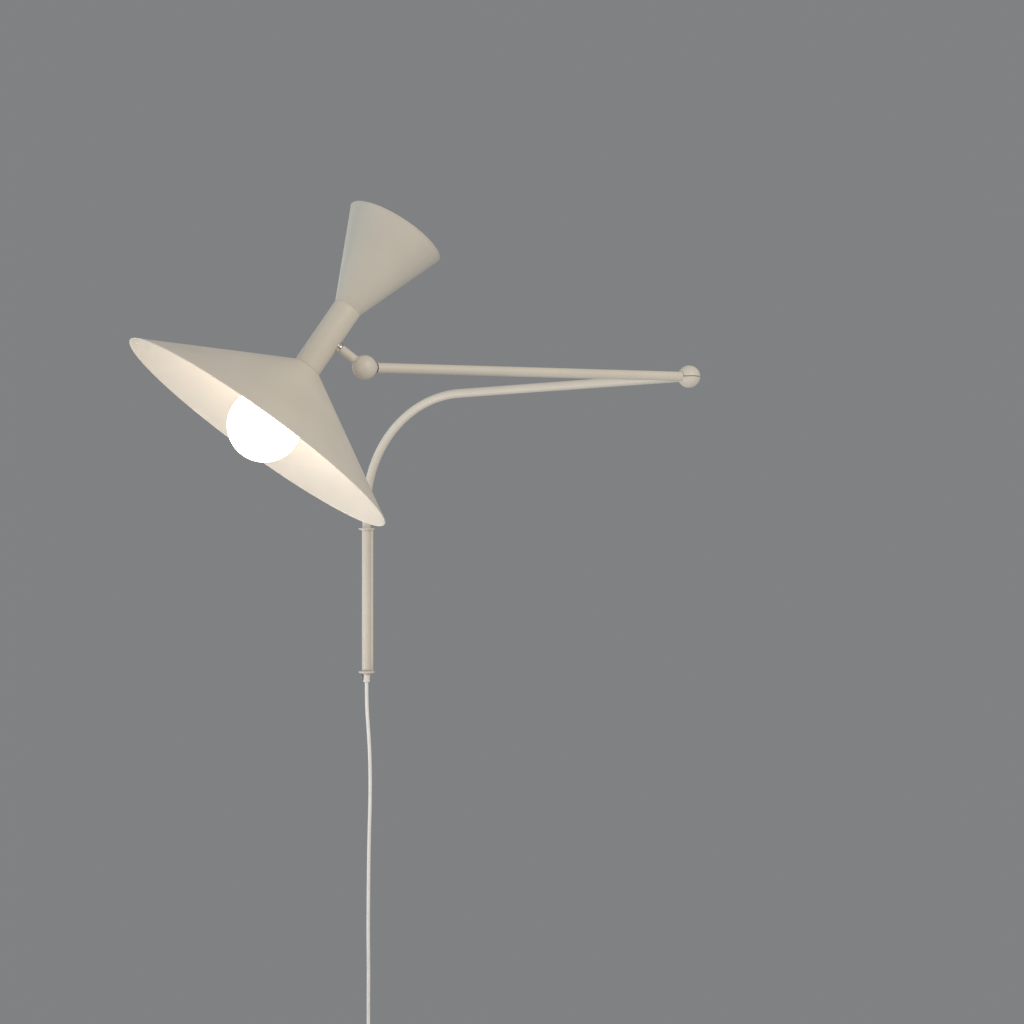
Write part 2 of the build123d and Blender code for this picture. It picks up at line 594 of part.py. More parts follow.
def coil_gap(points):
    """Least gap between one stretch of the coil and another."""
    half_turn = COIL_SAMPLES // 2
    least = min((a - b).length for i, a in enumerate(points) for b in points[i + half_turn :])
    return least - CORD_DIA


def make_cord():
    start = (0, -STANDOFF, GLAND_TOP - GLAND_GRIP - FACE_GAP)
    path = cord_path([start, *CORD_BENDS, (CORD_X, -STANDOFF, SWITCH_TOP)])
    cord = pipe(path, CORD_R)
    print("cord length", round(path.length, 1))
    print("cord volume share", cord.volume / (pi * CORD_R**2 * path.length))
    save("cord", cord)

    stops = [quarter / 4 for quarter in range(8 * COIL_TURNS + 1)]
    down = Vector(0, 0, -1)
    dirs = [coil_direction(s) for s in stops]
    dirs[0] = dirs[-1] = down
    places = [coil_point(s) for s in stops]
    edges = [Line(places[0] - down * COIL_LEAD, places[0])]
    for i in range(len(stops) - 1):
        edges += biarc(places[i], dirs[i], places[i + 1], dirs[i + 1])
    edges.append(Line(places[-1], places[-1] + down * COIL_TAIL))
    wire = Wire(edges)
    coil = pipe(wire, CORD_R)
    samples = [coil_point(i / COIL_SAMPLES) for i in range(2 * COIL_TURNS * COIL_SAMPLES + 1)]
    print("coil gap", round(coil_gap(samples), 2), "coil length", round(wire.length, 1))
    print("coil volume share", coil.volume / (pi * CORD_R**2 * wire.length))
    save("cord_coil", coil)

    inner = COIL_R - COIL_STEP * COIL_TURNS - CORD_R
    outer = COIL_R + CORD_R
    room = (outer - inner + 2 * CORD_CLEAR, COIL_STEP + CORD_DIA + 2 * CORD_CLEAR)
    hole = RectangleRounded(*room, radius=CORD_R)
    band = RectangleRounded(room[0] + 2 * TIE_THICK, room[1] + 2 * TIE_THICK, radius=CORD_R + TIE_THICK)
    middle = COIL_CENTRE + Vector(-(inner + outer) / 2, -COIL_STEP / 2, 0)
    tie = extrude(band - hole, TIE_WIDE / 2, both=True)
    save("cord_tie", Pos(middle) * tie)


def make_switch():
    base = SWITCH_TOP - SWITCH_LONG
    middle = SWITCH_TOP - SWITCH_LONG / 2
    at = Pos(CORD_X, -STANDOFF, 0)
    nose = RectangleRounded(SWITCH_NOSE, SWITCH_NOSE, radius=SWITCH_ROUND)
    belly = RectangleRounded(SWITCH_WIDE, SWITCH_DEEP, radius=SWITCH_ROUND)
    levels = [
        (base, nose),
        (base + SWITCH_TAPER, belly),
        (SWITCH_TOP - SWITCH_TAPER, belly),
        (SWITCH_TOP, nose),
    ]
    body = at * loft([Pos(0, 0, height) * section for height, section in levels], ruled=True)
    front = Plane((CORD_X, -STANDOFF, middle), x_dir=(1, 0, 0), z_dir=(0, -1, 0))
    face = SWITCH_DEEP / 2
    axle = face - ROCKER_DEEP / 2
    well = front * Pos(0, 0, face - ROCKER_DEEP / 2) * Box(
        ROCKER_WIDE + 2 * FACE_GAP, ROCKER_LONG + 2 * FACE_GAP, ROCKER_DEEP
    )
    pin_axis = Plane(front.origin + front.z_dir * axle, z_dir=(1, 0, 0))
    pin_half = ROCKER_PIN_LONG / 2
    halves = split(body, Plane.XZ.offset(STANDOFF), keep=Keep.BOTH).solids().sort_by(Axis.Y)
    pin_hole = rod(pin_axis, ROCKER_PIN_DIA / 2 + RUN_CLEAR, -pin_half, pin_half)
    save("switch_front", halves[0] - well - pin_hole)
    save("switch_back", halves[1])

    half = ROCKER_LONG / 2
    dip = half * tan(radians(ROCKER_TILT))
    top = ROCKER_DEEP / 2 + ROCKER_PROUD
    low = -ROCKER_DEEP / 2 + dip + FACE_GAP
    outline = Polyline(
        (-half + dip, low),
        (half - dip, low),
        (half - FACE_GAP, top),
        (0, top - dip),
        (-half + FACE_GAP, top),
        close=True,
    )
    rocker = extrude(Plane.YZ * make_face(outline), ROCKER_WIDE / 2, both=True)
    rocker += Plane.YZ * Cylinder(ROCKER_PIN_DIA / 2, 2 * (pin_half - FACE_GAP))
    rocker = Rot(X=-ROCKER_TILT) * rocker
    save("switch_rocker", Plane(pin_axis.origin, x_dir=(1, 0, 0), z_dir=(0, -1, 0)) * rocker)


def make_plug():
    end = coil_point(2 * COIL_TURNS) + Vector(0, 0, -COIL_TAIL)
    axis = Plane(end, x_dir=(0, 1, 0), z_dir=(0, 0, -1))
    face = PLUG_RELIEF + PLUG_TAPER + PLUG_FACE
    relief = Cone(CORD_R + TIE_THICK, PLUG_NECK / 2, PLUG_RELIEF)
    neck = RectangleRounded(PLUG_NECK_WIDE, PLUG_NECK, radius=PLUG_NECK_ROUND)
    wide = RectangleRounded(PLUG_WIDE, PLUG_THICK, radius=PLUG_ROUND)
    body = loft([Pos(0, 0, PLUG_RELIEF) * neck, Pos(0, 0, PLUG_RELIEF + PLUG_TAPER) * wide], ruled=True)
    body += Pos(0, 0, PLUG_RELIEF + PLUG_TAPER) * extrude(wide, PLUG_FACE)
    body += Pos(0, 0, PLUG_RELIEF / 2) * relief
    save("plug_body", axis * body)
    pins = []
    for side in (-1, 1):
        pin = Cylinder(PLUG_PIN_DIA / 2, PLUG_PIN_LONG)
        pin = Pos(side * PIN_PITCH / 2, 0, face + PLUG_PIN_LONG / 2) * pin
        pins.append(axis * fillet(pin.edges().sort_by(Axis.Z)[-1], PLUG_PIN_ROUND))
    save("plug_pins", Compound(children=pins))


os.makedirs("parts", exist_ok=True)
make_bracket()
make_lower_arm()
make_upper_arm()
make_knuckle()
make_head()
make_cord()
make_switch()
make_plug()
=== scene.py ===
"""Looks of the adjustable wall lamp: cream powder coat, lit opal globe, polished ring and hanging cord."""

import json
from math import acos, atan2, cos, degrees, pi, radians, sin, sqrt, tan

import bmesh
import bpy
from mathutils import Matrix, Vector


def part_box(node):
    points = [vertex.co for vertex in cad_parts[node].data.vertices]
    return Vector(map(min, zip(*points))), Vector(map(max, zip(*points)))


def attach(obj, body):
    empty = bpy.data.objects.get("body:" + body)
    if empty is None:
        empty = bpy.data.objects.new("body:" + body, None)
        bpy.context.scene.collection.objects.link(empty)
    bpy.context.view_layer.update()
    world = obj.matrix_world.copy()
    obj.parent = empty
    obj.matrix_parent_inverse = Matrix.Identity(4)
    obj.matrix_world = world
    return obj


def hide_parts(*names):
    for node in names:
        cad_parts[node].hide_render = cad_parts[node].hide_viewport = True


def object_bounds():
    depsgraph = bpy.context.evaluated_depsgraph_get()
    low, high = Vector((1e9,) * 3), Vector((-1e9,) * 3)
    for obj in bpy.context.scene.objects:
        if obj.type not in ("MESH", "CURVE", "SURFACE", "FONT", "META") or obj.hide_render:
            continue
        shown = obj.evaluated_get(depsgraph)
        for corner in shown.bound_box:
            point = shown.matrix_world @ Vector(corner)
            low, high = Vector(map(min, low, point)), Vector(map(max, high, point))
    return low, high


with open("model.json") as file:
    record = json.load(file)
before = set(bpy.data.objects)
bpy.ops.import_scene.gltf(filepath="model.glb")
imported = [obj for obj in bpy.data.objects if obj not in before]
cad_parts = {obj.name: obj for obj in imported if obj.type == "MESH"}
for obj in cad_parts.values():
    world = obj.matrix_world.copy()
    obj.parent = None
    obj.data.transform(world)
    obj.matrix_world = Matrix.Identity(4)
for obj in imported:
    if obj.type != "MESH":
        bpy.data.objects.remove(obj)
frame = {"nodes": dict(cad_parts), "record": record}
cad_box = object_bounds()

# Joint places and axes, from the frame
JOINTS = {joint["name"]: joint for joint in frame["record"]["behaviour"]["joints"]}
SWIVEL = Vector(JOINTS["wall_swivel"]["pos_m"])
ELBOW = Vector(JOINTS["elbow_swivel"]["pos_m"])
KNUCKLE = Vector(JOINTS["head_roll"]["pos_m"])
ARM2_DIR = Vector(JOINTS["head_roll"]["axis"]).normalized()
STUB_DIR = Vector(JOINTS["head_swivel"]["axis"]).normalized()
LEFT = Vector((-1, 0, 0))
RIGHT = Vector((1, 0, 0))
TO_WALL = Vector((0, 1, 0))
UP = Vector((0, 0, 1))

# Clearances, in metres as all sizes are
CLOSE_FIT = 0.00002
RUN_CLEAR = 0.00005
SCREW_CLEAR = 0.0001
CORD_CLEAR = 0.0003
JOINT_GAP = 0.0003

# Sizes of the wall bracket
EAR_R = 0.014
EAR_THICK = 0.003
EAR_EDGE = 0.0008
PLATE_HALF = 0.010
PLATE_THICK = 0.003
BUSH_WALL = 0.0012
BUSH_FLANGE = 0.0022
BUSH_FLANGE_THICK = 0.001
BUSH_EDGE = 0.00035
JOURNAL_R = 0.0045

# Sizes of the cord clamp under the bracket
CORD_R = 0.0031
GLAND_R = 0.00585
GLAND_LONG = 0.016
GLAND_GRIP = 0.0085
GLAND_REVEAL = 0.0012
GLAND_EDGE = 0.0012
WAIST_DROP = 0.0099
WAIST_BITE = 0.0006
WAIST_HALF = 0.0014
SCREW_DROP = 0.0068
SCREW_SHANK_R = 0.0015
SCREW_HEAD_R = 0.0045
SCREW_HEAD = 0.0028
SCREW_UNDER_EDGE = 0.0004
SCREW_TOP_EDGE = 0.0009
SCREW_SLOT = (0.02, 0.0009, 0.0028)  # length, width and twice the depth

# Sizes of the arms
TUBE_R = 0.0075
TUBE_WALL = 0.0015
BEND_R = 0.199
ARM1_RISE = radians(1.76)
BALL_R = 0.018
BALL_SLIT = 0.001
TUBE_SINK = 0.7 * BALL_R  # from the elbow's centre to the tubes' uncut ends
EQUATOR_EASE = 0.0008
EQUATOR_INSET = 0.7 * EQUATOR_EASE
EQUATOR_STEP = (0.25 * EQUATOR_EASE, 0.3 * EQUATOR_EASE)  # in from the rim and up from the flat
PIN_DEPTH = 0.013
GRUB_R = 0.002

# Sizes of the knuckle
KNUCKLE_R = 0.018
KNUCKLE_BLEND = 0.001
KNUCKLE_GRUB = 0.0028  # from the ball's centre towards the elbow
COLLAR_END = 0.0178
COLLAR_EDGE = 0.0003
SPIGOT_REACH = 0.0045  # past the ball's centre
SEAM_THICK = 0.0014
SEAM_INSET = 0.0006
SEAM_EDGE = 0.0003
STUB_R = 0.0068
STUB_FLARE = 0.0034
STUB_FLARE_RISE = 0.006
STUB_SINK = 0.0004
STUB_END = 0.043
STUB_EDGE = 0.0006
RING_R = 0.0076
RING_GROOVE = 0.0008
RING_EDGE = 0.0003
NIPPLE_R = 0.004

# Sizes of the stem and shades, with leans in degrees, where a shade's adds to the stem's
HEAD_OFFSET = 0.06925  # from the knuckle's centre to the stem's axis
STEM_LEAN = 33.1
STEM_BACK = 9.8
STEM_R = 0.021
STEM_WALL = 0.0015
STEM_EDGE = 0.0008
STEM_BELOW = 0.0521
STEM_ABOVE = 0.0541
STEM_ROOM = 0.04  # half length of the cutter that fits the ring to the stem
SHADE_WALL = 0.001
SHADE_NECK_EDGE = 0.0008
SHADE_RIM_R = 0.224
SHADE_DEPTH = 0.1212
SHADE_LEAN = 1.85
SHADE_BACK = 0.55
RIM_ROLL = 0.0009
TOP_RIM_R = 0.0769
TOP_DEPTH = 0.1355
TOP_LEAN = -2.5
TOP_BACK = 2.2

# Sizes of the lampholders and lamps
HOLDER_R = 0.017
HOLDER_BACK = 0.014
HOLDER_FRONT = 0.034
HOLDER_EDGE = 0.001
MOUTH_R = 0.014
MOUTH_EDGE = 0.0006
RIB_COUNT = 6
RIB_DEPTH = 0.0004
RIB_START = 0.009
RIB_END = 0.029
RIB_MARGIN = 0.001
CLAMP_WALL = 0.0026
CLAMP_THICK = 0.005
CLAMP_EDGE = 0.0008
CAP_R = 0.01325
CAP_LONG = 0.025
CAP_TIP = ((0.004, 0), (0.0045, 0.002), (0.009, 0.004))  # radius and height of the contact's corners
THREAD_COUNT = 6
THREAD_DEPTH = 0.0006
THREAD_START = 0.005
THREAD_END = 0.003
GLASS_NECK_R = 0.0155
GLASS_EDGE = 0.001
GLOBE_R = 0.053
GLOBE_INSET = 0.0155  # from the rim's plane in to the globe's centre
GLOBE_SHOULDER = 0.022
PEAR_R = 0.030
PEAR_CENTRE = 0.080  # from the shade's neck plate
PEAR_SHOULDER = 0.040

# Mesh counts, and angles in degrees
SEGMENTS = 96
RING_SEGMENTS = 72
SMALL_SEGMENTS = 64
HOLE_SEGMENTS = 48
THIN_SEGMENTS = 40
WIDE_SHADE_SEGMENTS = 224
SMALL_SHADE_SEGMENTS = 144
BEND_STEPS = 40
BALL_STEPS = 40
CONE_STEPS = 12
FLARE_STEPS = 8
WAVE_STEPS = 8  # in a rib or a thread
ON_AXIS = 1e-7  # radius below which a ring is a pole
MITRE_LIMIT = 0.4
SHARP_ANGLE = 32
RIBBED_SHARP_ANGLE = 40
CURVED_SHARP_ANGLE = 60


def leaning(lean, back):
    """Unit vector upwards, leaning towards +X and towards the wall by angles in degrees."""
    lean, back = radians(lean), radians(back)
    return Vector((sin(lean) * cos(back), sin(back), cos(lean) * cos(back)))


HEAD = KNUCKLE + STUB_DIR * HEAD_OFFSET
HEAD_UP = leaning(STEM_LEAN, STEM_BACK)
LOWER_UP = leaning(STEM_LEAN + SHADE_LEAN, STEM_BACK + SHADE_BACK)
UPPER_UP = leaning(STEM_LEAN + TOP_LEAN, STEM_BACK + TOP_BACK)


# Places
def axis_matrix(origin, direction):
    """Matrix that puts local +Z along a direction at an origin."""
    return Matrix.Translation(origin) @ direction.to_track_quat("Z", "Y").to_matrix().to_4x4()


def facing(origin, across, up):
    """Matrix that puts local X and Y along two directions at an origin."""
    return Matrix.Translation(origin) @ Matrix((across, up, across.cross(up))).transposed().to_4x4()


def upright(height=0.0):
    """Place on the wall swivel's axis at a height."""
    return Matrix.Translation((SWIVEL.x, SWIVEL.y, height))


# Outlines
def arc(centre, radius, start, end, steps):
    """Points of a circle between two angles in degrees."""
    angles = [radians(start + (end - start) * k / steps) for k in range(steps + 1)]
    return [(centre[0] + radius * cos(a), centre[1] + radius * sin(a)) for a in angles]


def rounded(corners, steps=6):
    """Outline through corners given as (x, y) or (x, y, radius), with the radii as arcs."""
    outline = []
    count = len(corners)
    for i, corner in enumerate(corners):
        here = Vector(corner[:2])
        radius = corner[2] if len(corner) > 2 else 0
        if not radius:
            outline.append(tuple(here))
            continue
        back = (Vector(corners[i - 1][:2]) - here).normalized()
        ahead = (Vector(corners[(i + 1) % count][:2]) - here).normalized()
        half = acos(max(-1, min(1, back.dot(ahead)))) / 2
        reach = radius / tan(half)
        centre = here + (back + ahead).normalized() * radius / sin(half)
        first = here + back * reach - centre
        last = here + ahead * reach - centre
        turn = atan2(first.x * last.y - first.y * last.x, first.dot(last))
        for k in range(steps + 1):
            angle = turn * k / steps
            x = first.x * cos(angle) - first.y * sin(angle)
            y = first.x * sin(angle) + first.y * cos(angle)
            outline.append((centre.x + x, centre.y + y))
    return outline


def rounded_box_ring(half_x, half_y, radius, steps=8):
    """Points round a rectangle with rounded corners."""
    points = []
    for x, y, start in ((1, 1, 0), (-1, 1, 90), (-1, -1, 180), (1, -1, 270)):
        points += arc((x * (half_x - radius), y * (half_y - radius)), radius, start, start + 90, steps)
    return points


def inset(outline, depth):
    """Outline moved inwards, for an outline that runs anticlockwise."""
    moved = []
    for i, point in enumerate(outline):
        here = Vector(point)
        before = (here - Vector(outline[i - 1])).normalized()
        after = (Vector(outline[(i + 1) % len(outline)]) - here).normalized()
        left = Vector((-before.y - after.y, before.x + after.x)).normalized()
        mitre = max(MITRE_LIMIT, left.dot(Vector((-before.y, before.x))))
        moved.append(tuple(here + left * depth / mitre))
    return moved


def edge_levels(start, edge, steps=4):
    """Heights and insets of a rounded edge."""
    turns = [pi / 2 * k / steps for k in range(steps + 1)]
    return [(start + edge - edge * cos(turn), edge - edge * sin(turn)) for turn in turns]


def s_curve(share):
    """Share from 0 to 1 that starts and ends level."""
    return share**2 * (3 - 2 * share)


def waves(radius, depth, start, end, count):
    """Points of rounded ridges between two heights."""
    steps = count * WAVE_STEPS
    points = []
    for k in range(steps + 1):
        dip = depth * (1 - cos(2 * pi * k / WAVE_STEPS))
        points.append((radius - dip, start + (end - start) * k / steps))
    return points


# Meshes
def add_rings(bm, rings, closed):
    """Faces between neighbouring rings of vertices. A ring of one vertex is a pole."""
    pairs = list(zip(rings, rings[1:]))
    if closed:
        pairs.append((rings[-1], rings[0]))
    for low, high in pairs:
        count = max(len(low), len(high))
        for i in range(count):
            j = (i + 1) % count
            if len(low) == 1:
                bm.faces.new((low[0], high[j], high[i]))
            elif len(high) == 1:
                bm.faces.new((low[i], low[j], high[0]))
            else:
                bm.faces.new((low[i], low[j], high[j], high[i]))


def lathe(outline, place, closed=False, segments=SEGMENTS):
    """Mesh turned about the local Z of a place from an outline of radius and height."""
    bm = bmesh.new()
    rings = []
    for radius, height in outline:
        count = 1 if radius < ON_AXIS else segments
        angles = [2 * pi * k / segments for k in range(count)]
        rings.append([bm.verts.new((radius * cos(a), radius * sin(a), height)) for a in angles])
    add_rings(bm, rings, closed)
    bm.transform(place)
    return bm


def loft(sections, place, capped=True):
    """Mesh through sections given as (height, points), all with the same count of points."""
    bm = bmesh.new()
    rings = [[bm.verts.new((x, y, height)) for x, y in points] for height, points in sections]
    add_rings(bm, rings, closed=not capped)
    if capped:
        bm.faces.new(rings[0])
        bm.faces.new(rings[-1])
    bm.transform(place)
    return bm


def slab(outline, thick, edge, place):
    """Plate with rounded edges from an outline."""
    sections = [(height, inset(outline, less)) for height, less in edge_levels(0, edge)]
    sections += [(thick - height, points) for height, points in sections[::-1]]
    return loft(sections, place)


def pipe(points, radius, inner, segments=THIN_SEGMENTS):
    """Hollow tube along points, with flat ends."""
    bm = bmesh.new()
    side = TO_WALL
    outer_rings, inner_rings = [], []
    turns = [2 * pi * k / segments for k in range(segments)]
    for i, point in enumerate(points):
        along = (points[min(i + 1, len(points) - 1)] - points[max(i - 1, 0)]).normalized()
        side = (side - along * side.dot(along)).normalized()
        across = along.cross(side)
        spokes = [side * cos(turn) + across * sin(turn) for turn in turns]
        outer_rings.append([bm.verts.new(point + spoke * radius) for spoke in spokes])
        inner_rings.append([bm.verts.new(point + spoke * inner) for spoke in spokes])
    add_rings(bm, outer_rings + inner_rings[::-1], closed=True)
    return bm


def to_mesh(name, bm):
    """Mesh from a bmesh, which is freed."""
    mesh = bpy.data.meshes.new(name)
    bm.to_mesh(mesh)
    bm.free()
    return mesh


def joined(shells):
    """One bmesh from several, which are freed."""
    whole = bmesh.new()
    for shell in shells:
        mesh = to_mesh("shell", shell)
        whole.from_mesh(mesh)
        bpy.data.meshes.remove(mesh)
    return whole


# Objects
def put(name, data):
    """New object in the scene."""
    obj = bpy.data.objects.new(name, data)
    bpy.context.scene.collection.objects.link(obj)
    return obj


def smooth_shaded(mesh, sharp):
    """Smooth shading with sharp edges from an angle in degrees."""
    mesh.shade_smooth()
    mesh.set_sharp_from_angle(angle=radians(sharp))


def piece(name, bm, material, body, slot, *nodes, sharp=SHARP_ANGLE):
    """Object from a bmesh, riding on a body and standing for CAD nodes."""
    bmesh.ops.recalc_face_normals(bm, faces=bm.faces)
    mesh = to_mesh(name, bm)
    mesh.materials.append(material)
    smooth_shaded(mesh, sharp)
    obj = put(name, mesh)
    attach(obj, body)
    if nodes:
        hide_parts(*nodes)
    return obj


def combine(obj, bm, operation):
    """Boolean of an object with a bmesh, applied."""
    bmesh.ops.recalc_face_normals(bm, faces=bm.faces)
    tool_mesh = to_mesh("tool", bm)
    tool = put("tool", tool_mesh)
    modifier = obj.modifiers.new("join", "BOOLEAN")
    modifier.operation = operation
    modifier.solver = "EXACT"
    modifier.object = tool
    bpy.context.view_layer.update()
    result = bpy.data.meshes.new_from_object(obj.evaluated_get(bpy.context.evaluated_depsgraph_get()))
    obj.modifiers.clear()
    old = obj.data
    obj.data = result
    bpy.data.objects.remove(tool)
    bpy.data.meshes.remove(tool_mesh)
    bpy.data.meshes.remove(old)
    smooth_shaded(result, SHARP_ANGLE)


def drill(obj, place, radius, start, end, segments=HOLE_SEGMENTS):
    """Round hole along the local Z of a place."""
    outline = [(0, start), (radius, start), (radius, end), (0, end)]
    combine(obj, lathe(outline, place, segments=segments), "DIFFERENCE")


def ring_piece(name, inner, outer, low, high, edge, *how, place):
    """Turned ring with rounded outer edges."""
    outline = rounded([(inner, low), (outer, low, edge), (outer, high, edge), (inner, high)], steps=4)
    return piece(name, lathe(outline, place, closed=True, segments=SMALL_SEGMENTS), *how)


# Material helpers
def srgb(*levels):
    """Linear colour from 8-bit display values."""
    shares = [level / 255 for level in levels]
    linear = [s / 12.92 if s <= 0.04045 else ((s + 0.055) / 1.055) ** 2.4 for s in shares]
    return (*linear, 1)


class Shader:
    """A Principled material with small helpers for its texture nodes."""

    def __init__(self, name, **values):
        self.material = bpy.data.materials.new(name)
        self.material.use_nodes = True
        self.tree = self.material.node_tree
        self.surface = self.tree.nodes["Principled BSDF"]
        self.coords = self.tree.nodes.new("ShaderNodeTexCoord")
        for socket, value in values.items():
            self.surface.inputs[socket.replace("_", " ")].default_value = value

    def link(self, out, to):
        """Link from an output to an input."""
        self.tree.links.new(out, to)

    def set(self, socket, source):
        """Input of the surface from a node's output."""
        self.link(source, self.surface.inputs[socket])

    def noise(self, scale, detail=3, rough=0.5):
        """Noise in the object's own space."""
        node = self.tree.nodes.new("ShaderNodeTexNoise")
        node.inputs["Scale"].default_value = scale
        node.inputs["Detail"].default_value = detail
        node.inputs["Roughness"].default_value = rough
        self.link(self.coords.outputs["Object"], node.inputs["Vector"])
        return node.outputs["Fac"]

    def ramp(self, source, *stops):
        """Colour ramp from (position, colour) stops."""
        node = self.tree.nodes.new("ShaderNodeValToRGB")
        for element, (position, colour) in zip(node.color_ramp.elements, stops, strict=True):
            element.position = position
            element.color = colour
        self.link(source, node.inputs["Fac"])
        return node.outputs["Color"]

    def span(self, source, low, high, from_low=0.3, from_high=0.7):
        """Value spread from one span to another."""
        node = self.tree.nodes.new("ShaderNodeMapRange")
        values = {"From Min": from_low, "From Max": from_high, "To Min": low, "To Max": high}
        for socket, value in values.items():
            node.inputs[socket].default_value = value
        self.link(source, node.inputs["Value"])
        return node.outputs["Result"]

    def multiply(self, first, second):
        """Product of two colours."""
        node = self.tree.nodes.new("ShaderNodeMix")
        node.data_type = "RGBA"
        node.blend_type = "MULTIPLY"
        inputs = {socket.name: socket for socket in node.inputs if socket.enabled}
        inputs["Factor"].default_value = 1
        self.link(first, inputs["A"])
        self.link(second, inputs["B"])
        return next(socket for socket in node.outputs if socket.enabled)

    def bump(self, source, strength, distance):
        """Bump on top of any that is there."""
        node = self.tree.nodes.new("ShaderNodeBump")
        node.inputs["Strength"].default_value = strength
        node.inputs["Distance"].default_value = distance
        self.link(source, node.inputs["Height"])
        last = self.surface.inputs["Normal"]
        if last.is_linked:
            self.link(last.links[0].from_socket, node.inputs["Normal"])
        self.link(node.outputs["Normal"], last)


# Materials
def cream_paint():
    """Satin powder coat with faint clouds and dust."""
    shader = Shader("cream_powder_coat", Coat_Weight=0.06, Coat_Roughness=0.25)
    cloud = shader.noise(scale=7, detail=4, rough=0.55)
    fleck = shader.noise(scale=420, detail=2, rough=0.6)
    tone = shader.ramp(cloud, (0.30, srgb(206, 200, 188)), (0.72, srgb(213, 208, 197)))
    dust = shader.ramp(fleck, (0.62, srgb(255, 255, 255)), (0.80, srgb(246, 243, 237)))
    shader.set("Base Color", shader.multiply(tone, dust))
    shader.set("Roughness", shader.span(shader.noise(scale=28, detail=4), low=0.40, high=0.52))
    shader.bump(shader.noise(scale=1500, detail=2), strength=0.10, distance=0.0002)
    shader.bump(shader.noise(scale=240, detail=2, rough=0.45), strength=0.05, distance=0.0006)
    return shader.material


def plain_plastic(name, low, high, rough, grain=900):
    """Moulded plastic that varies between two tones."""
    shader = Shader(name)
    shader.set("Base Color", shader.ramp(shader.noise(scale=45), (0.3, low), (0.7, high)))
    shader.set("Roughness", shader.span(shader.noise(scale=120), low=rough - 0.06, high=rough + 0.06))
    shader.bump(shader.noise(scale=grain, detail=2), strength=0.08, distance=0.0002)
    return shader.material


def metal(name, low, high, rough, grain=160):
    """Grained metal that varies between two tones."""
    shader = Shader(name, Metallic=1.0)
    streak = shader.noise(scale=grain, detail=4, rough=0.6)
    shader.set("Base Color", shader.ramp(streak, (0.25, low), (0.75, high)))
    shader.set("Roughness", shader.span(streak, low=rough * 0.7, high=rough * 1.3))
    shader.bump(streak, strength=0.04, distance=0.0002)
    return shader.material


def opal(name, glow):
    """Opal glass, lit where it has a glow."""
    shader = Shader(name, Coat_Weight=0.4, Coat_Roughness=0.08, Emission_Strength=glow)
    haze = shader.noise(scale=18)
    tone = shader.ramp(haze, (0.3, srgb(240, 236, 226)), (0.7, srgb(248, 245, 238)))
    shader.set("Base Color", tone)
    if glow:
        light = shader.ramp(haze, (0.3, (1, 0.83, 0.71, 1)), (0.7, (1, 0.85, 0.74, 1)))
        shader.set("Emission Color", light)
    shader.set("Roughness", shader.span(shader.noise(scale=60), low=0.22, high=0.32))
    return shader.material


PAINT = cream_paint()
NYLON = plain_plastic("bush_nylon", srgb(222, 216, 202), srgb(232, 226, 214), rough=0.45)
BLACK = plain_plastic("dark_nylon", srgb(26, 26, 26), srgb(38, 37, 36), rough=0.5)
SHEATH = plain_plastic("cord_sheath", srgb(228, 227, 224), srgb(236, 235, 232), rough=0.42)
WHITE = plain_plastic("white_moulding", srgb(222, 220, 215), srgb(232, 230, 226), rough=0.32, grain=1400)
HOLDER = plain_plastic("lampholder_moulding", srgb(226, 222, 212), srgb(236, 232, 224), rough=0.35)
STEEL = metal("zinc_steel", srgb(150, 150, 150), srgb(185, 185, 184), rough=0.36)
CHROME = metal("polished_ring", srgb(230, 228, 224), srgb(243, 241, 238), rough=0.26, grain=60)
BRASS = metal("machined_brass", srgb(190, 150, 86), srgb(214, 176, 110), rough=0.28)
NICKEL = metal("nickel_plate", srgb(190, 187, 180), srgb(214, 211, 205), rough=0.22)
LIT = opal("lit_opal_glass", glow=8.0)
OPAL = opal("opal_glass", glow=0.0)

SLOT_MATERIALS = {
    "cream_paint": PAINT,
    "bush_nylon": NYLON,
    "dark_nylon": BLACK,
    "steel": STEEL,
    "chrome": CHROME,
    "brass": BRASS,
    "cord_pvc": SHEATH,
    "white_plastic": WHITE,
    "nickel": NICKEL,
    "holder_plastic": HOLDER,
    "lit_opal": LIT,
    "opal": OPAL,
}


def dress_nodes():
    """Material of each CAD node from its slot in the record."""
    for part in frame["record"]["subparts"]:
        obj = frame["nodes"][part["node"]]
        obj.data.materials.clear()
        obj.data.materials.append(SLOT_MATERIALS[part["material_slot"]])


# Wall bracket
def make_bracket():
    """Two ears with their bushes. The plate stays as the CAD has it."""
    for side, bore in (("upper", TUBE_R + RUN_CLEAR), ("lower", JOURNAL_R + RUN_CLEAR)):
        make_ear(side, bore + BUSH_WALL)
        make_bush(side, bore)


def make_ear(side, hole_r):
    """Round-nosed ear that runs back to the plate."""
    neck = -SWIVEL.y - PLATE_THICK
    meet = degrees(acos(PLATE_HALF / EAR_R))
    outline = arc((0, 0), EAR_R, 180 - meet, 360 + meet, steps=56)
    outline += [(PLATE_HALF, neck), (-PLATE_HALF, neck)]
    place = upright(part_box(f"{side}_ear")[0][2])
    how = (PAINT, "bracket", "cream_paint", f"{side}_ear")
    ear = piece(f"{side}_bearing_ear", slab(outline, EAR_THICK, EAR_EDGE, place), *how)
    drill(ear, place, hole_r, -EAR_THICK, 2 * EAR_THICK)


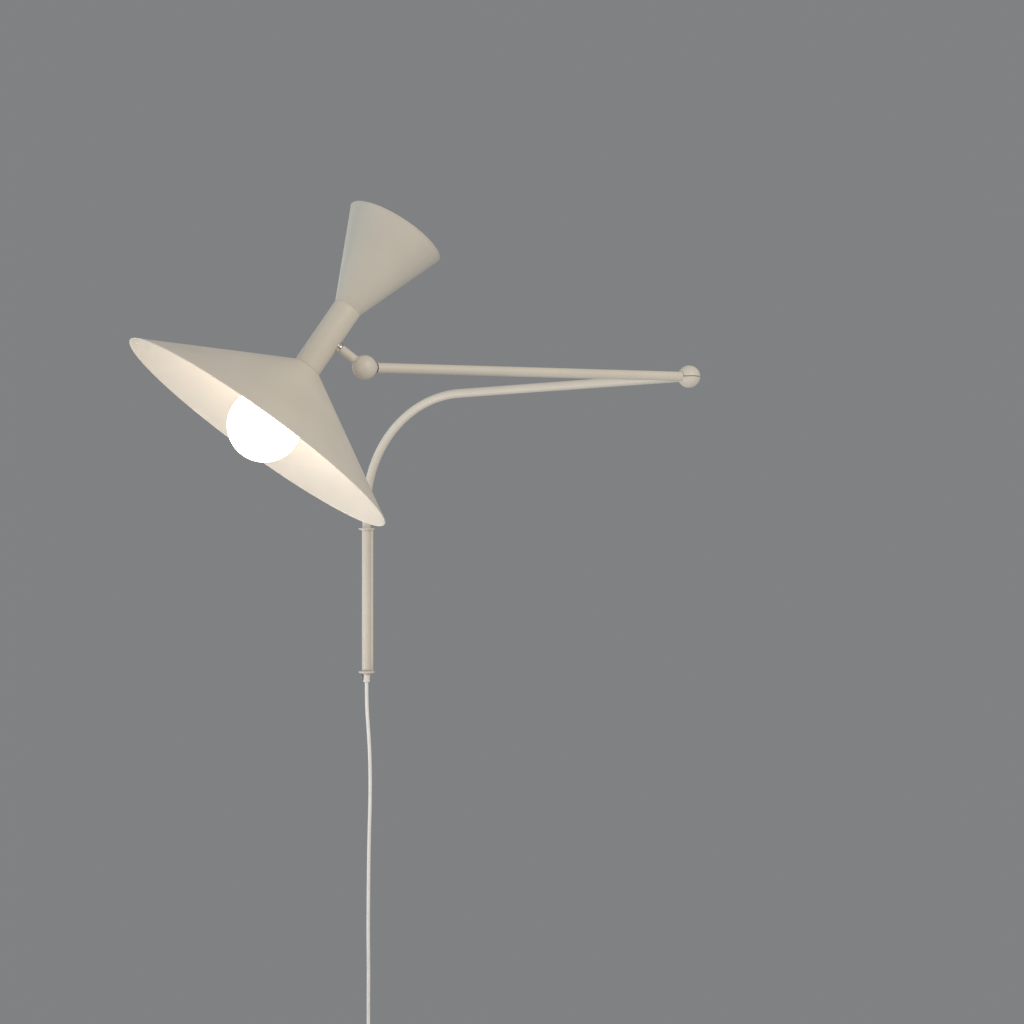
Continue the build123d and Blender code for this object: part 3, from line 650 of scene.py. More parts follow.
def make_bush(side, bore):
    """Bush with its flange on the ear's inner face."""
    low, high = (corner[2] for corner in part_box(f"{side}_bush"))
    tube = bore + BUSH_WALL
    wide = tube + BUSH_FLANGE
    if side == "upper":
        step = low + BUSH_FLANGE_THICK
        corners = [(wide, low, BUSH_EDGE), (wide, step, BUSH_EDGE), (tube, step), (tube, high)]
    else:
        step = high - BUSH_FLANGE_THICK
        corners = [(tube, low), (tube, step), (wide, step, BUSH_EDGE), (wide, high, BUSH_EDGE)]
    outline = rounded([(bore, low), *corners, (bore, high)], steps=3)
    bush = lathe(outline, upright(), closed=True, segments=SMALL_SEGMENTS)
    piece(f"{side}_flanged_bush", bush, NYLON, "bracket", "bush_nylon", f"{side}_bush")


def make_gland():
    """Cord clamp with a waist and a screw at its side."""
    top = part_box("cord_gland")[1][2]
    shoulder = top - GLAND_REVEAL
    base = top - GLAND_LONG
    waist = top - WAIST_DROP
    cord_bore, grip_bore = CORD_R + CORD_CLEAR, JOURNAL_R + CLOSE_FIT
    foot = [(cord_bore, base), (GLAND_R, base, GLAND_EDGE), (GLAND_R, waist - WAIST_HALF)]
    crown = [(GLAND_R, waist + WAIST_HALF), (GLAND_R, shoulder, GLAND_EDGE), (grip_bore, shoulder)]
    outline = rounded(foot, steps=5)[:-1]
    outline += arc((GLAND_R + WAIST_BITE, waist), 2 * WAIST_BITE, 240, 120, steps=8)
    outline += rounded(crown, steps=5)[1:]
    outline += [(grip_bore, top - GLAND_GRIP), (cord_bore, top - GLAND_GRIP)]
    gland = lathe(outline, upright(), closed=True, segments=SMALL_SEGMENTS)
    gland = piece("cord_clamp", gland, WHITE, "lower_arm", "white_plastic", "cord_gland")
    place = axis_matrix(Vector((SWIVEL.x, SWIVEL.y, top - SCREW_DROP)), LEFT)
    drill(gland, place, SCREW_SHANK_R + SCREW_CLEAR, JOURNAL_R, 2 * GLAND_R)
    make_clamp_screw(place)


def make_clamp_screw(place):
    """Slotted screw with a rounded head."""
    tip = JOURNAL_R + RUN_CLEAR
    under = GLAND_R + JOINT_GAP
    face = under + SCREW_HEAD
    corners = [(0, tip), (SCREW_SHANK_R, tip), (SCREW_SHANK_R, under)]
    corners += [(SCREW_HEAD_R, under, SCREW_UNDER_EDGE), (SCREW_HEAD_R, face, SCREW_TOP_EDGE), (0, face)]
    screw = lathe(rounded(corners, steps=5), place, segments=SMALL_SEGMENTS)
    screw = piece("clamp_screw", screw, STEEL, "lower_arm", "steel", "gland_screw")
    slot = bmesh.new()
    bmesh.ops.create_cube(slot, size=1)
    slot.transform(Matrix.Diagonal((*SCREW_SLOT, 1)))
    slot.transform(place @ Matrix.Translation((0, 0, face)))
    combine(screw, slot, "DIFFERENCE")


# Arms
def make_arms():
    """Lower tube with its long bend and straight upper tube."""
    plan = Vector((ELBOW.x - SWIVEL.x, ELBOW.y - SWIVEL.y, 0))
    out = plan.normalized()
    rise = out * cos(ARM1_RISE) + UP * sin(ARM1_RISE)
    corner = Vector((SWIVEL.x, SWIVEL.y, ELBOW.z - plan.length * tan(ARM1_RISE)))
    turn = pi / 2 - ARM1_RISE
    reach = BEND_R * tan(turn / 2)
    centre = corner - UP * reach + out * BEND_R
    points = [Vector((SWIVEL.x, SWIVEL.y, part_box("lower_arm_tube")[0][2]))]
    for k in range(BEND_STEPS + 1):
        angle = turn * k / BEND_STEPS
        points.append(centre - out * BEND_R * cos(angle) + UP * BEND_R * sin(angle))
    points.append(ELBOW - rise * TUBE_SINK)
    make_tube("lower", points)
    start = KNUCKLE - ARM2_DIR * (COLLAR_END + SEAM_THICK + JOINT_GAP)
    make_tube("upper", [start, ELBOW + ARM2_DIR * TUBE_SINK])


def make_tube(side, points):
    """Tube of an arm, cut to the elbow's ball."""
    tube = pipe(points, TUBE_R, TUBE_R - TUBE_WALL)
    tube = piece(f"{side}_tube", tube, PAINT, f"{side}_arm", "cream_paint", f"{side}_arm_tube")
    ball_room = arc((0, 0), BALL_R + JOINT_GAP, -90, 90, steps=32)
    combine(tube, lathe(ball_room, Matrix.Translation(ELBOW)), "DIFFERENCE")


def make_elbow():
    """Two half balls with eased equators, the upper one with its grub screw's hole."""
    flat = BALL_SLIT / 2
    rise = flat + EQUATOR_EASE
    rim = sqrt(BALL_R**2 - rise**2)
    dome = [(0, flat), (rim - EQUATOR_INSET, flat), (rim - EQUATOR_STEP[0], flat + EQUATOR_STEP[1])]
    dome += arc((0, 0), BALL_R, degrees(atan2(rise, rim)), 90, BALL_STEPS)[:-1] + [(0, BALL_R)]
    top = Matrix.Translation(ELBOW)
    under = top @ Matrix.Rotation(pi, 4, "X")
    lower = (PAINT, "lower_arm", "cream_paint", "lower_elbow_half")
    upper = (PAINT, "upper_arm", "cream_paint", "upper_elbow_half")
    piece("lower_half_ball", lathe(dome, under), *lower)
    ball = piece("upper_half_ball", lathe(dome, top), *upper)
    away = -Vector((ARM2_DIR.x, ARM2_DIR.y, 0)).normalized()
    place = axis_matrix(ELBOW + UP * PIN_DEPTH / 2, away)
    drill(ball, place, GRUB_R + SCREW_CLEAR, BALL_R / 3, 2 * BALL_R)


# Knuckle
def make_knuckle():
    """Ball, dark seam and bright ring."""
    to_elbow = axis_matrix(KNUCKLE, -ARM2_DIR)
    to_stem = axis_matrix(KNUCKLE, STUB_DIR)
    make_knuckle_ball(to_elbow, to_stem)
    size = (JOURNAL_R + RUN_CLEAR, TUBE_R - SEAM_INSET, COLLAR_END, COLLAR_END + SEAM_THICK, SEAM_EDGE)
    how = (BLACK, "knuckle", "dark_nylon", "knuckle_washer")
    ring_piece("knuckle_seam", *size, *how, place=to_elbow)
    make_ring(to_stem)


def make_knuckle_ball(to_elbow, to_stem):
    """Ball with its collar and stub, bored for the arm's spigot and its grub screw."""
    collar = TUBE_R + KNUCKLE_BLEND
    neck = sqrt((KNUCKLE_R + KNUCKLE_BLEND) ** 2 - collar**2)
    lift = degrees(atan2(neck, collar))
    outline = arc((0, 0), KNUCKLE_R, -90, lift, steps=48)
    outline += arc((collar, neck), KNUCKLE_BLEND, 180 + lift, 180, steps=6)
    end = [(TUBE_R, neck), (TUBE_R, COLLAR_END, COLLAR_EDGE), (0, COLLAR_END)]
    outline += rounded(end, steps=3)[1:]
    how = (PAINT, "knuckle", "cream_paint", "head_ball")
    ball = piece("knuckle_ball", lathe(outline, to_elbow), *how)
    combine(ball, lathe(stub_outline(), to_stem, segments=SMALL_SEGMENTS), "UNION")
    under = ARM2_DIR.cross(ARM2_DIR.cross(UP)).normalized()
    grub_place = axis_matrix(KNUCKLE - ARM2_DIR * KNUCKLE_GRUB, under)
    drill(ball, grub_place, GRUB_R + SCREW_CLEAR, JOURNAL_R, 2 * KNUCKLE_R)
    drill(ball, to_elbow, JOURNAL_R + RUN_CLEAR, -SPIGOT_REACH, 2 * KNUCKLE_R)


def stub_outline():
    """Stub that flares into the ball."""
    root = sqrt(KNUCKLE_R**2 - (STUB_R + STUB_FLARE) ** 2) - STUB_SINK
    outline = [(0, root), (STUB_R + STUB_FLARE, root)]
    for k in range(1, FLARE_STEPS + 1):
        turn = pi / 2 * k / FLARE_STEPS
        radius = STUB_R + STUB_FLARE * (1 - sin(turn))
        outline.append((radius, root + STUB_SINK + STUB_FLARE_RISE * (1 - cos(turn))))
    end = [(STUB_R, root + STUB_FLARE_RISE), (STUB_R, STUB_END, STUB_EDGE), (0, STUB_END)]
    return outline + rounded(end, steps=3)[1:]


def make_ring(place):
    """Bright ring with a groove at each end, fitted to the stem."""
    start = STUB_END + JOINT_GAP
    end = HEAD_OFFSET - STEM_R - RING_GROOVE
    waist = RING_R - RING_GROOVE
    corners = [(NIPPLE_R, start), (waist, start), (waist, start + RING_GROOVE)]
    corners += [(RING_R, start + RING_GROOVE, RING_EDGE), (RING_R, end, RING_EDGE), (waist, end)]
    corners += [(waist, HEAD_OFFSET), (NIPPLE_R, HEAD_OFFSET)]
    ring = lathe(rounded(corners, steps=4), place, closed=True, segments=RING_SEGMENTS)
    ring = piece("bright_ring", ring, CHROME, "head", "chrome", "swivel_ring")
    drill(ring, axis_matrix(HEAD, HEAD_UP), STEM_R, -STEM_ROOM, STEM_ROOM, segments=SEGMENTS)


# Head
def spun_shade(depth, rim):
    """Closed outline of a spun shade: neck plate at height 0, cone, rounded rim, inside of the cone."""
    wide = rim - RIM_ROLL
    slant = atan2(depth, wide - STEM_R)
    shift = Vector((-sin(slant), cos(slant))) * SHADE_WALL
    inner_start = STEM_R + shift.x + (SHADE_WALL - shift.y) / tan(slant)
    hole = HOLDER_R + JOINT_GAP
    shares = [k / CONE_STEPS for k in range(1, CONE_STEPS + 1)]
    neck = [(hole, 0), (STEM_R, 0, SHADE_NECK_EDGE), (wide, depth)]
    outline = [(hole, 0)] + rounded(neck, steps=4)[1:-1]
    outline += [(STEM_R + (wide - STEM_R) * share, depth * share) for share in shares[:-1]]
    lean = degrees(slant)
    grip = 90 + degrees(acos(SHADE_WALL / 2 / RIM_ROLL))
    roll = (wide + shift.x / 2, depth + shift.y / 2)
    outline += arc(roll, RIM_ROLL, lean - grip, lean + grip, steps=20)
    rise = SHADE_WALL - depth - shift.y
    run = inner_start - wide - shift.x
    outline += [(wide + shift.x + run * share, depth + shift.y + rise * share) for share in shares]
    return outline + [(hole, SHADE_WALL)]


def bulb_outline(centre, radius, shoulder):
    """Glass of a lamp from its neck to its crown."""
    hollow = GLASS_NECK_R + shoulder
    drop = sqrt((radius + shoulder) ** 2 - hollow**2)
    angle = degrees(atan2(drop, hollow))
    base = HOLDER_FRONT + JOINT_GAP
    outline = [(0, base), (GLASS_NECK_R - GLASS_EDGE, base), (GLASS_NECK_R, base + GLASS_EDGE)]
    outline += arc((hollow, centre - drop), shoulder, 180, 180 - angle, steps=14)
    return outline + arc((0, centre), radius, -angle, 90, BALL_STEPS)[1:-1] + [(0, centre + radius)]


def cap_outline():
    """Screw cap with rolled threads and a centre contact."""
    rim = HOLDER_FRONT + JOINT_GAP
    seat = rim - CAP_LONG
    outline = [(0, seat)] + [(radius, seat + height) for radius, height in CAP_TIP]
    outline += waves(CAP_R, THREAD_DEPTH, seat + THREAD_START, rim - THREAD_END, THREAD_COUNT)
    return outline + [(CAP_R, rim), (0, rim)]


def holder_outline():
    """Lampholder with grip ribs round its skirt, closed at the back and open in front."""
    back, front = -HOLDER_BACK, HOLDER_FRONT
    seat = front - CAP_LONG
    foot = [(0, back), (HOLDER_R, back, HOLDER_EDGE), (HOLDER_R, RIB_START - RIB_MARGIN)]
    ribs = waves(HOLDER_R, RIB_DEPTH, RIB_START, RIB_END, RIB_COUNT)
    lip = [(HOLDER_R, RIB_END + RIB_MARGIN), (HOLDER_R, front, HOLDER_EDGE)]
    lip += [(MOUTH_R, front, MOUTH_EDGE), (MOUTH_R, seat), (0, seat)]
    return rounded(foot, steps=4) + ribs + rounded(lip, steps=4)[1:]


def make_stem():
    """Stem tube with its ends mitred to the shades, eased where it meets the wide one."""
    place = axis_matrix(HEAD, HEAD_UP)
    inner = STEM_R - STEM_WALL
    corners = [(inner, -STEM_BELOW), (STEM_R, -STEM_BELOW, STEM_EDGE)]
    corners += [(STEM_R, STEM_ABOVE), (inner, STEM_ABOVE)]
    bm = lathe(rounded(corners, steps=4), Matrix(), closed=True)
    turn = place.to_3x3().inverted()
    for vert in bm.verts:
        normal = turn @ (UPPER_UP if vert.co.z > 0 else LOWER_UP)
        vert.co.z -= (normal.x * vert.co.x + normal.y * vert.co.y) / normal.z
    bm.transform(place)
    stem = piece("stem", bm, PAINT, "head", "cream_paint", "stem_tube")
    drill(stem, axis_matrix(KNUCKLE, STUB_DIR), NIPPLE_R + SCREW_CLEAR, STUB_END, HEAD_OFFSET)


def make_head():
    """Stem, shades and lamps with their caps, holders and clamp rings."""
    make_stem()
    lower = axis_matrix(HEAD - HEAD_UP * STEM_BELOW, -LOWER_UP)
    upper = axis_matrix(HEAD + HEAD_UP * STEM_ABOVE, UPPER_UP)
    paint = (PAINT, "head", "cream_paint")
    wide = lathe(spun_shade(SHADE_DEPTH, SHADE_RIM_R), lower, closed=True, segments=WIDE_SHADE_SEGMENTS)
    piece("wide_shade", wide, *paint, "main_shade")
    small = lathe(spun_shade(TOP_DEPTH, TOP_RIM_R), upper, closed=True, segments=SMALL_SHADE_SEGMENTS)
    piece("small_shade", small, *paint, "upper_shade")
    globe = lathe(bulb_outline(SHADE_DEPTH - GLOBE_INSET, GLOBE_R, GLOBE_SHOULDER), lower)
    piece("globe", globe, LIT, "head", "lit_opal", "globe_glass", sharp=CURVED_SHARP_ANGLE)
    pear = lathe(bulb_outline(PEAR_CENTRE, PEAR_R, PEAR_SHOULDER), upper)
    piece("pear_lamp", pear, OPAL, "head", "opal", "upper_glass", sharp=CURVED_SHARP_ANGLE)
    make_lampholder("lower", lower, "globe_cap")
    make_lampholder("upper", upper, "upper_cap")


def make_lampholder(side, place, cap_node):
    """Screw cap of a lamp, its lampholder and the ring that clamps the shade."""
    cap = lathe(cap_outline(), place, segments=SMALL_SEGMENTS)
    piece(f"{side}_screw_cap", cap, NICKEL, "head", "nickel", cap_node, sharp=CURVED_SHARP_ANGLE)
    moulding = (HOLDER, "head", "holder_plastic")
    holder = lathe(holder_outline(), place, segments=RING_SEGMENTS)
    piece(f"{side}_holder", holder, *moulding, f"{side}_lampholder", sharp=RIBBED_SHARP_ANGLE)
    inner = HOLDER_R + CLOSE_FIT
    size = (inner, inner + CLAMP_WALL, SHADE_WALL, SHADE_WALL + CLAMP_THICK, CLAMP_EDGE)
    ring_piece(f"{side}_clamp_ring", *size, *moulding, f"{side}_shade_ring", place=place)


# Sizes of the cord, with the same route as its solid
GLAND_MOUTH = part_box("cord")[1][2]
SWITCH_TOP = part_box("switch_back")[1][2]
SWITCH_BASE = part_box("switch_back")[0][2]
CORD_X = 0.003
CORD_ROUTE = [
    (0, -0.0240, GLAND_MOUTH),
    (0, -0.0240, -0.186),
    (0.0028, -0.0237, -0.222),
    (0.0062, -0.0234, -0.284),
    (0.0064, -0.0236, -0.352),
    (0.0040, -0.0239, -0.430),
    (0.0033, -0.0242, -0.506),
    (0.0026, -0.0241, -0.584),
    (0.0034, -0.0239, -0.650),
    (CORD_X, -0.0240, -0.708),
    (CORD_X, -0.0240, SWITCH_TOP),
]
COIL_TURNS = 3  # in each of the two layers
COIL_CLIMB = 0.25  # turns before and after the change of layer
COIL_STEP = 0.0069
COIL_BAND = COIL_STEP * COIL_TURNS
COIL_MIDDLE_R = 0.034
COIL_R = COIL_MIDDLE_R + COIL_BAND / 2
COIL_LEAD = 0.050
COIL_TAIL = 0.030
COIL_POINTS = 24  # control points in a turn
COIL_CENTRE = Vector((CORD_X - COIL_R, SWIVEL.y, SWITCH_BASE - COIL_LEAD))
TIE_HALF = 0.004
TIE_THICK = 0.0012
TIE_EDGE = 0.0005
CORD_FITTING = (WHITE, "bracket", "white_plastic")  # material, body and slot

# Sizes of the inline switch
SWITCH_LONG = SWITCH_TOP - SWITCH_BASE
SWITCH_HALF = 0.0075
SWITCH_NOSE = 0.0048
SWITCH_TAPER = 0.018
SWITCH_TAPER_STEPS = 12
SWITCH_ROUND = 0.003
SWITCH_EDGE = 0.0009
PARTING = 0.0003
SWITCH_SCREWS = (0.014, 0.052)  # heights above the switch's foot
SWITCH_SCREW_R = 0.0021
SWITCH_SCREW_SINK = 0.0012
SWITCH_SCREW_HEAD = 0.001
SWITCH_SCREW_EDGE = 0.0005
CROSS_ARM = (0.00035, 0.0014, 0.0001)  # half width, half length and corner radius
CROSS_DEEP = 0.0006
ROCKER_LONG = 0.017
ROCKER_WIDE = 0.0064
ROCKER_DEEP = 0.005
ROCKER_PROUD = 0.0014
ROCKER_EDGE = 0.0005
ROCKER_TILT = 7.0
ROCKER_STEPS = 10
WELL_FLARE = 0.0005
WELL_ROUND = 0.0007

# Sizes of the plug, its neck and body as half width, half thickness and corner radius
PLUG_NECK = (0.0062, 0.00475, 0.0042)
PLUG_BODY = (0.0175, 0.00675, 0.0035)
PLUG_EDGE = 0.0012
PLUG_TAPER = 0.016
PLUG_TAPER_STEPS = 14
RELIEF_LONG = 0.022
RELIEF_WALL = 0.0012
RELIEF_EDGE = 0.0008
RELIEF_SINK = 0.0005
RELIEF_RIBS = 7
RELIEF_GROOVE = (0.0002, 0, 0, 0, 0, 0, 0.0002, 0.0009, 0.0009, 0.0002)  # depth along one rib
PLUG_STRAIGHT = 0.009
PLUG_FACE = RELIEF_LONG + PLUG_TAPER + PLUG_STRAIGHT
PRONG_R = 0.002
PRONG_WAIST_R = 0.0017
PRONG_PITCH = 0.0186
PRONG_LONG = 0.019
PRONG_SLEEVE = 0.0095
PRONG_TIP = 0.0016
SLEEVE_GAP = 0.0001


# Cord
def make_cord():
    """Hanging cord with the switch, then the coil with its tie and the plug."""
    hanging = cord_curve("hanging_cord", CORD_ROUTE)
    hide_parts("cord")
    make_switch()
    bulge = 1 / cos(pi / COIL_POINTS)
    count = 2 * COIL_TURNS * COIL_POINTS
    turns = [coil_point(k / COIL_POINTS, bulge) for k in range(1, count)]
    top = Vector((CORD_X, SWIVEL.y, SWITCH_BASE))
    bottom = coil_point(2 * COIL_TURNS, 1) - UP * COIL_TAIL
    lead = [top, top - UP * COIL_LEAD * 0.5, top - UP * COIL_LEAD]
    tail = [bottom + UP * COIL_TAIL, bottom + UP * COIL_TAIL * 0.5, bottom]
    coiled = cord_curve("coiled_cord", lead + turns + tail)
    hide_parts("cord_coil")
    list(make_plug(bottom))
    make_tie()


def cord_curve(name, points):
    """Round cord along the control points of its route."""
    curve = bpy.data.curves.new(name, "CURVE")
    curve.dimensions = "3D"
    spline = curve.splines.new("NURBS")
    spline.points.add(len(points) - 1)
    for target, point in zip(spline.points, points):
        target.co = (*point, 1)
    spline.order_u = 3
    spline.use_endpoint_u = True
    spline.resolution_u = 8
    curve.bevel_depth = CORD_R
    curve.bevel_resolution = 8
    curve.use_fill_caps = True
    curve.materials.append(SHEATH)
    obj = put(name, curve)
    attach(obj, "bracket")
    return obj


def coil_point(turns, bulge):
    """Control point of the coil: in on the back layer, out on the front one."""
    from_middle = abs(turns - COIL_TURNS)
    if from_middle < COIL_CLIMB:
        from_middle = (from_middle**2 / COIL_CLIMB + COIL_CLIMB) / 2
    radius = (COIL_R - COIL_STEP * (COIL_TURNS - from_middle)) * bulge
    climb = min(max((turns - COIL_TURNS) / COIL_CLIMB + 1, 0), 2) / 2
    front = COIL_STEP * s_curve(climb)
    angle = 2 * pi * turns
    return COIL_CENTRE + Vector((radius * cos(angle), -front, -radius * sin(angle)))


def make_tie():
    """Strap round one side of the coil."""
    room = (COIL_BAND / 2 + CORD_R + CORD_CLEAR, COIL_STEP / 2 + CORD_R + CORD_CLEAR)
    inner = rounded_box_ring(*room, CORD_R)
    levels = [(height - TIE_HALF, TIE_THICK - less) for height, less in edge_levels(0, TIE_EDGE)]
    levels += [(-height, thick) for height, thick in levels[::-1]]
    sections = [(-TIE_HALF, inner)]
    for height, thick in levels:
        sections.append((height, rounded_box_ring(room[0] + thick, room[1] + thick, CORD_R + thick)))
    sections.append((TIE_HALF, inner))
    middle = COIL_CENTRE - Vector((COIL_MIDDLE_R, COIL_STEP / 2, 0))
    strap = loft(sections, Matrix.Translation(middle), capped=False)
    return piece("coil_strap", strap, *CORD_FITTING, "cord_tie")


# Inline switch
def half_section(half):
    """Front half of the switch's rounded section, eased at the parting line."""
    corner = half - SWITCH_ROUND
    points = [(-half + PARTING, 0), (-half, -PARTING)]
    points += arc((-corner, -corner), SWITCH_ROUND, 180, 270, steps=8)
    points += arc((corner, -corner), SWITCH_ROUND, 270, 360, steps=8)
    return points + [(half, -PARTING), (half - PARTING, 0)]


def switch_sections():
    """Sections of a switch shell, which tapers to both ends."""
    levels = [(height, SWITCH_NOSE - less) for height, less in edge_levels(0, SWITCH_EDGE)]
    for k in range(1, SWITCH_TAPER_STEPS + 1):
        share = k / SWITCH_TAPER_STEPS
        half = SWITCH_NOSE + (SWITCH_HALF - SWITCH_NOSE) * s_curve(share)
        levels.append((SWITCH_EDGE + (SWITCH_TAPER - SWITCH_EDGE) * share, half))
    levels += [(SWITCH_LONG - height, half) for height, half in levels[::-1]]
    return [(height, half_section(half)) for height, half in levels]


def make_switch():
    """Inline switch: two half shells, a rocker in its well and two screws at the back."""
    place = Matrix.Translation((CORD_X, SWIVEL.y, SWITCH_BASE))
    turned = place @ Matrix.Rotation(pi, 4, "Z")
    sections = switch_sections()
    front = piece("switch_front_shell", loft(sections, place), *CORD_FITTING, "switch_front")
    back = piece("switch_back_shell", loft(sections, turned), *CORD_FITTING, "switch_back")
    face = facing(Vector((CORD_X, SWIVEL.y, SWITCH_BASE + SWITCH_LONG / 2)), RIGHT, UP)
    combine(front, rocker_well(face), "DIFFERENCE")
    fittings = [front, back, make_rocker(face)]
    for number, height in enumerate(SWITCH_SCREWS, 1):
        fittings.append(make_switch_screw(number, height, back))
    return fittings


def rocker_well(face):
    """Cutter of the rocker's well, flared at its mouth."""
    wide, long = ROCKER_WIDE / 2 + JOINT_GAP, ROCKER_LONG / 2 + JOINT_GAP
    sections = []
    for out, more in ((-ROCKER_DEEP, 0), (-WELL_FLARE, 0), (WELL_FLARE, 2 * WELL_FLARE)):
        sections.append((SWITCH_HALF + out, rounded_box_ring(wide + more, long + more, WELL_ROUND + more)))
    return loft(sections, face)


def make_rocker(face):
    """Rocker with a hollowed top, tipped to one side."""
    half = ROCKER_LONG / 2
    dip = half * tan(radians(ROCKER_TILT))
    top = ROCKER_DEEP / 2 + ROCKER_PROUD
    low = -ROCKER_DEEP / 2 + dip + JOINT_GAP
    tip = half - JOINT_GAP
    outline = [(-half + dip, low), (half - dip, low)]
    for k in range(2 * ROCKER_STEPS + 1):
        share = 1 - k / ROCKER_STEPS
        outline.append((tip * share, top - dip * (1 - share**2)))
    axle = face @ Matrix.Translation((0, 0, SWITCH_HALF - ROCKER_DEEP / 2))
    tipped = axle @ Matrix.Rotation(radians(-ROCKER_TILT), 4, "X")
    on_edge = facing(Vector((-ROCKER_WIDE / 2, 0, 0)), TO_WALL, UP)
    rocker = slab(outline, ROCKER_WIDE, ROCKER_EDGE, tipped @ on_edge)
    return piece("rocker_key", rocker, WHITE, "rocker", "white_plastic", "switch_rocker")


def make_switch_screw(number, height, back):
    """Cross-headed screw, sunk in the back shell."""
    place = axis_matrix(Vector((CORD_X, SWIVEL.y, SWITCH_BASE + height)), TO_WALL)
    bottom = SWITCH_NOSE - SWITCH_SCREW_SINK
    top = bottom + SWITCH_SCREW_HEAD
    drill(back, place, SWITCH_SCREW_R + JOINT_GAP, bottom, 2 * SWITCH_HALF)
    corners = [(0, bottom), (SWITCH_SCREW_R, bottom), (SWITCH_SCREW_R, top, SWITCH_SCREW_EDGE), (0, top)]
    screw = lathe(rounded(corners, steps=4), place, segments=THIN_SEGMENTS)
    screw = piece(f"switch_screw_{number}", screw, STEEL, "bracket", "steel")
    arm = rounded_box_ring(*CROSS_ARM, steps=2)
    cross = [(top - CROSS_DEEP, arm), (top + SWITCH_SCREW_HEAD, arm)]
    for turn in (0, pi / 2):
        combine(screw, loft(cross, place @ Matrix.Rotation(turn, 4, "Z")), "DIFFERENCE")
    return screw


# Plug
def plug_sections():
    """Sections of the plug from its neck to its face."""
    edge = PLUG_EDGE / 2
    sections = []
    for height, less in edge_levels(RELIEF_LONG, edge):
        sections.append((height, [size - less for size in PLUG_NECK]))
    for k in range(1, PLUG_TAPER_STEPS + 1):
        share = k / PLUG_TAPER_STEPS
        sizes = [neck + (body - neck) * s_curve(share) for neck, body in zip(PLUG_NECK, PLUG_BODY)]
        sections.append((RELIEF_LONG + edge + (PLUG_TAPER - edge) * share, sizes))
    for height, less in edge_levels(0, PLUG_EDGE)[::-1]:
        sections.append((PLUG_FACE - height, [size - less for size in PLUG_BODY]))
    return [(height, rounded_box_ring(*sizes)) for height, sizes in sections]


def relief_outline():
    """Ribbed strain relief that grows from the cord to the plug's neck."""
    start, end = CORD_R + RELIEF_WALL, PLUG_NECK[1]
    steps = RELIEF_RIBS * len(RELIEF_GROOVE)
    outline = [(0, 0), (start - RELIEF_EDGE, 0)]
    for k in range(steps):
        share = (k + 1) / steps
        groove = RELIEF_GROOVE[k % len(RELIEF_GROOVE)]
        outline.append((start + (end - start) * share - groove, RELIEF_LONG * share))
    inside = RELIEF_LONG + PLUG_EDGE
    return outline + [(end - RELIEF_SINK, inside), (0, inside)]


def make_plug(end):
    """Flat plug with a ribbed strain relief and two sleeved pins."""
    place = facing(end, TO_WALL, RIGHT)
    body = piece("plug_moulding", loft(plug_sections(), place), *CORD_FITTING, "plug_body")
    combine(body, lathe(relief_outline(), place, segments=SMALL_SEGMENTS), "UNION")
    return [body, *make_prongs(place)]


def make_prongs(place):
    """Two pins and their sleeves."""
    waist, bare, tip = PRONG_WAIST_R, PLUG_FACE + PRONG_SLEEVE, PLUG_FACE + PRONG_LONG
    cuff = bare - SLEEVE_GAP
    pin = [(0, PLUG_FACE), (waist, PLUG_FACE), (waist, bare), (PRONG_R, bare)]
    pin = rounded(pin + [(PRONG_R, tip, PRONG_TIP), (0, tip)])
    sleeve = [(waist, PLUG_FACE), (PRONG_R, PLUG_FACE), (PRONG_R, cuff), (waist, cuff)]
    sides = [place @ Matrix.Translation((side * PRONG_PITCH / 2, 0, 0)) for side in (-1, 1)]
    pins = joined([lathe(pin, side, segments=THIN_SEGMENTS) for side in sides])
    sleeves = joined([lathe(sleeve, side, closed=True, segments=THIN_SEGMENTS) for side in sides])
    return [
        piece("plug_prongs", pins, NICKEL, "bracket", "nickel", "plug_pins"),
        piece("prong_sleeves", sleeves, *CORD_FITTING),
    ]


# Stage
CAMERA_AT = (0.257, -3.383, 0.1564)
FOCAL_PIXELS = 1900
FRAME_PIXELS = 1024
SENSOR_MM = 36
FLOOR_R = 1.25
FLOOR_DROP = 0.02
FLOOR_CENTRE = (0.1, -0.35)
FLOOR_FADE = (0.02, 0.5)  # shares of the radius, in from the edge
FLOOR_COLOUR = srgb(206, 207, 208)
BACKDROP = srgb(128, 129, 131)
SKY_COLOUR = (0.97, 0.99, 1, 1)
SKY_STRENGTH = 0.50
LIGHTS_AIM = Vector((0.1, -0.4, 0.2))


def make_camera():
    """Level camera, square to the wall."""
    camera = bpy.data.cameras.new("camera")
    camera.sensor_fit = "HORIZONTAL"
    camera.sensor_width = SENSOR_MM
    camera.lens = FOCAL_PIXELS / FRAME_PIXELS * SENSOR_MM
    obj = put("camera", camera)
    obj.location = CAMERA_AT
    obj.rotation_euler = (pi / 2, 0, 0)
    bpy.context.scene.camera = obj


def area_light(name, place, size, power, colour):
    """Round soft light aimed at the lamp."""
    light = bpy.data.lights.new(name, "AREA")
    light.shape = "DISK"
    light.size = size
    light.energy = power
    light.color = colour
    obj = put(name, light)
    obj.location = place
    obj.rotation_euler = (LIGHTS_AIM - Vector(place)).to_track_quat("-Z", "Y").to_euler()


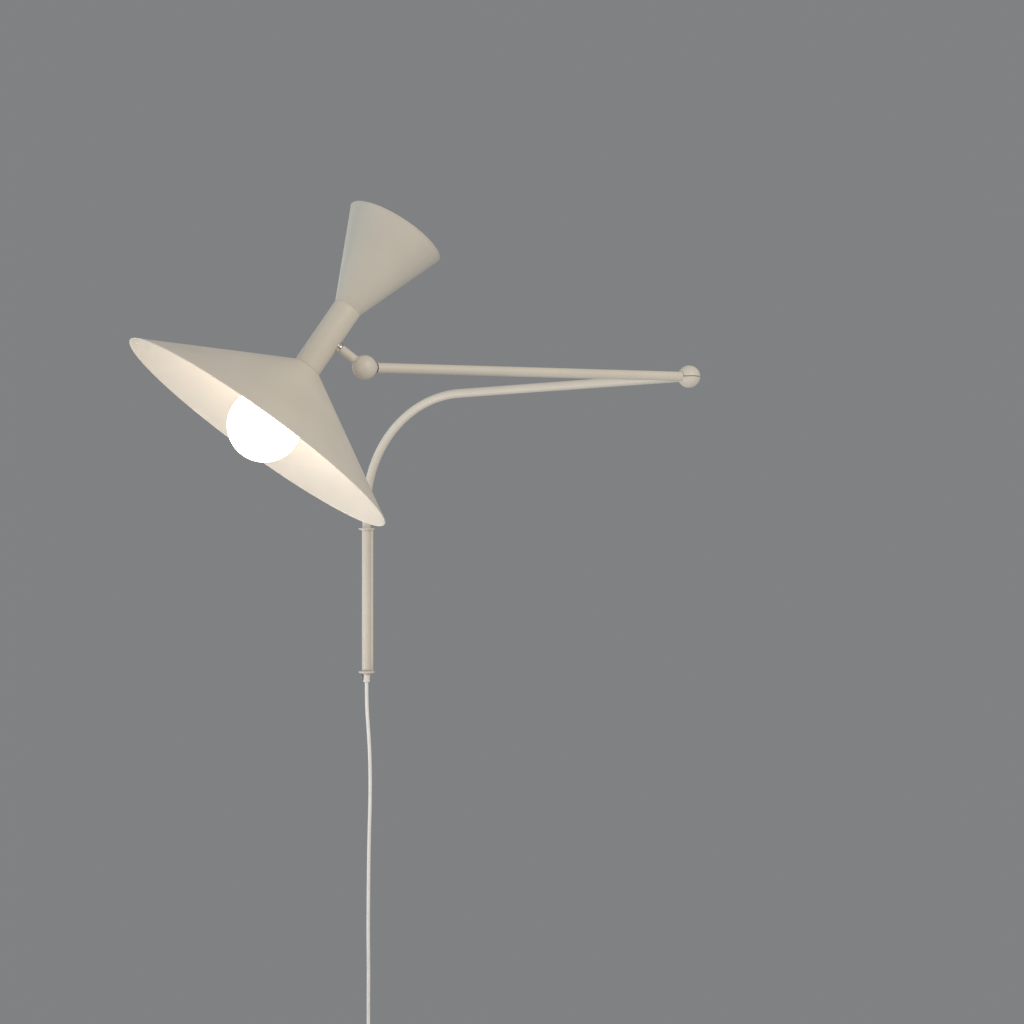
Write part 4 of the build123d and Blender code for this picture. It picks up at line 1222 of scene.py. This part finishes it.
def make_floor():
    """Pale disc under the lamp that fades out at its edge."""
    bm = bmesh.new()
    bmesh.ops.create_circle(bm, cap_ends=True, segments=SEGMENTS, radius=FLOOR_R)
    floor = put("floor", to_mesh("floor", bm))
    floor.location = (*FLOOR_CENTRE, cad_box[0][2] - FLOOR_DROP)
    shader = Shader("pale_floor", Roughness=0.9, Base_Color=FLOOR_COLOUR)
    gradient = shader.tree.nodes.new("ShaderNodeTexGradient")
    gradient.gradient_type = "SPHERICAL"
    mapping = shader.tree.nodes.new("ShaderNodeMapping")
    mapping.inputs["Scale"].default_value = (1 / FLOOR_R, 1 / FLOOR_R, 0)
    shader.link(shader.coords.outputs["Object"], mapping.inputs["Vector"])
    shader.link(mapping.outputs["Vector"], gradient.inputs["Vector"])
    shader.set("Alpha", shader.span(gradient.outputs["Fac"], 0, 1, *FLOOR_FADE))
    floor.data.materials.append(shader.material)


def make_world():
    """Soft sky that the camera, mirrors and glass see as a grey backdrop."""
    world = bpy.data.worlds.new("studio")
    bpy.context.scene.world = world
    world.use_nodes = True
    tree = world.node_tree
    soft = tree.nodes["Background"]
    soft.inputs["Color"].default_value = SKY_COLOUR
    soft.inputs["Strength"].default_value = SKY_STRENGTH
    seen = tree.nodes.new("ShaderNodeBackground")
    seen.inputs["Color"].default_value = BACKDROP
    path = tree.nodes.new("ShaderNodeLightPath")
    seen_by = path.outputs["Is Camera Ray"]
    for ray in ("Is Glossy Ray", "Is Transmission Ray"):
        either = tree.nodes.new("ShaderNodeMath")
        either.operation = "MAXIMUM"
        tree.links.new(seen_by, either.inputs[0])
        tree.links.new(path.outputs[ray], either.inputs[1])
        seen_by = either.outputs[0]
    blend = tree.nodes.new("ShaderNodeMixShader")
    tree.links.new(seen_by, blend.inputs["Fac"])
    tree.links.new(soft.outputs[0], blend.inputs[1])
    tree.links.new(seen.outputs[0], blend.inputs[2])
    tree.links.new(blend.outputs[0], tree.nodes["World Output"].inputs["Surface"])


def make_studio():
    """Camera, backdrop, floor and soft lights."""
    bpy.context.scene.view_settings.view_transform = "Standard"
    make_camera()
    make_world()
    make_floor()
    area_light("key", (2.4, -3.7, 2.0), size=2.4, power=78, colour=(1, 0.86, 0.70))
    area_light("side", (-3.2, -0.8, 0.5), size=2.0, power=22, colour=(0.84, 0.93, 1))
    area_light("low", (-1.8, -1.5, -1.8), size=2.0, power=43, colour=(1, 0.93, 0.87))
    area_light("back", (-2.6, 2.2, 0.6), size=2.4, power=15, colour=(0.97, 0.98, 1))


dress_nodes()
make_studio()
make_cord()
make_bracket()
make_gland()
make_arms()
make_elbow()
make_knuckle()
make_head()
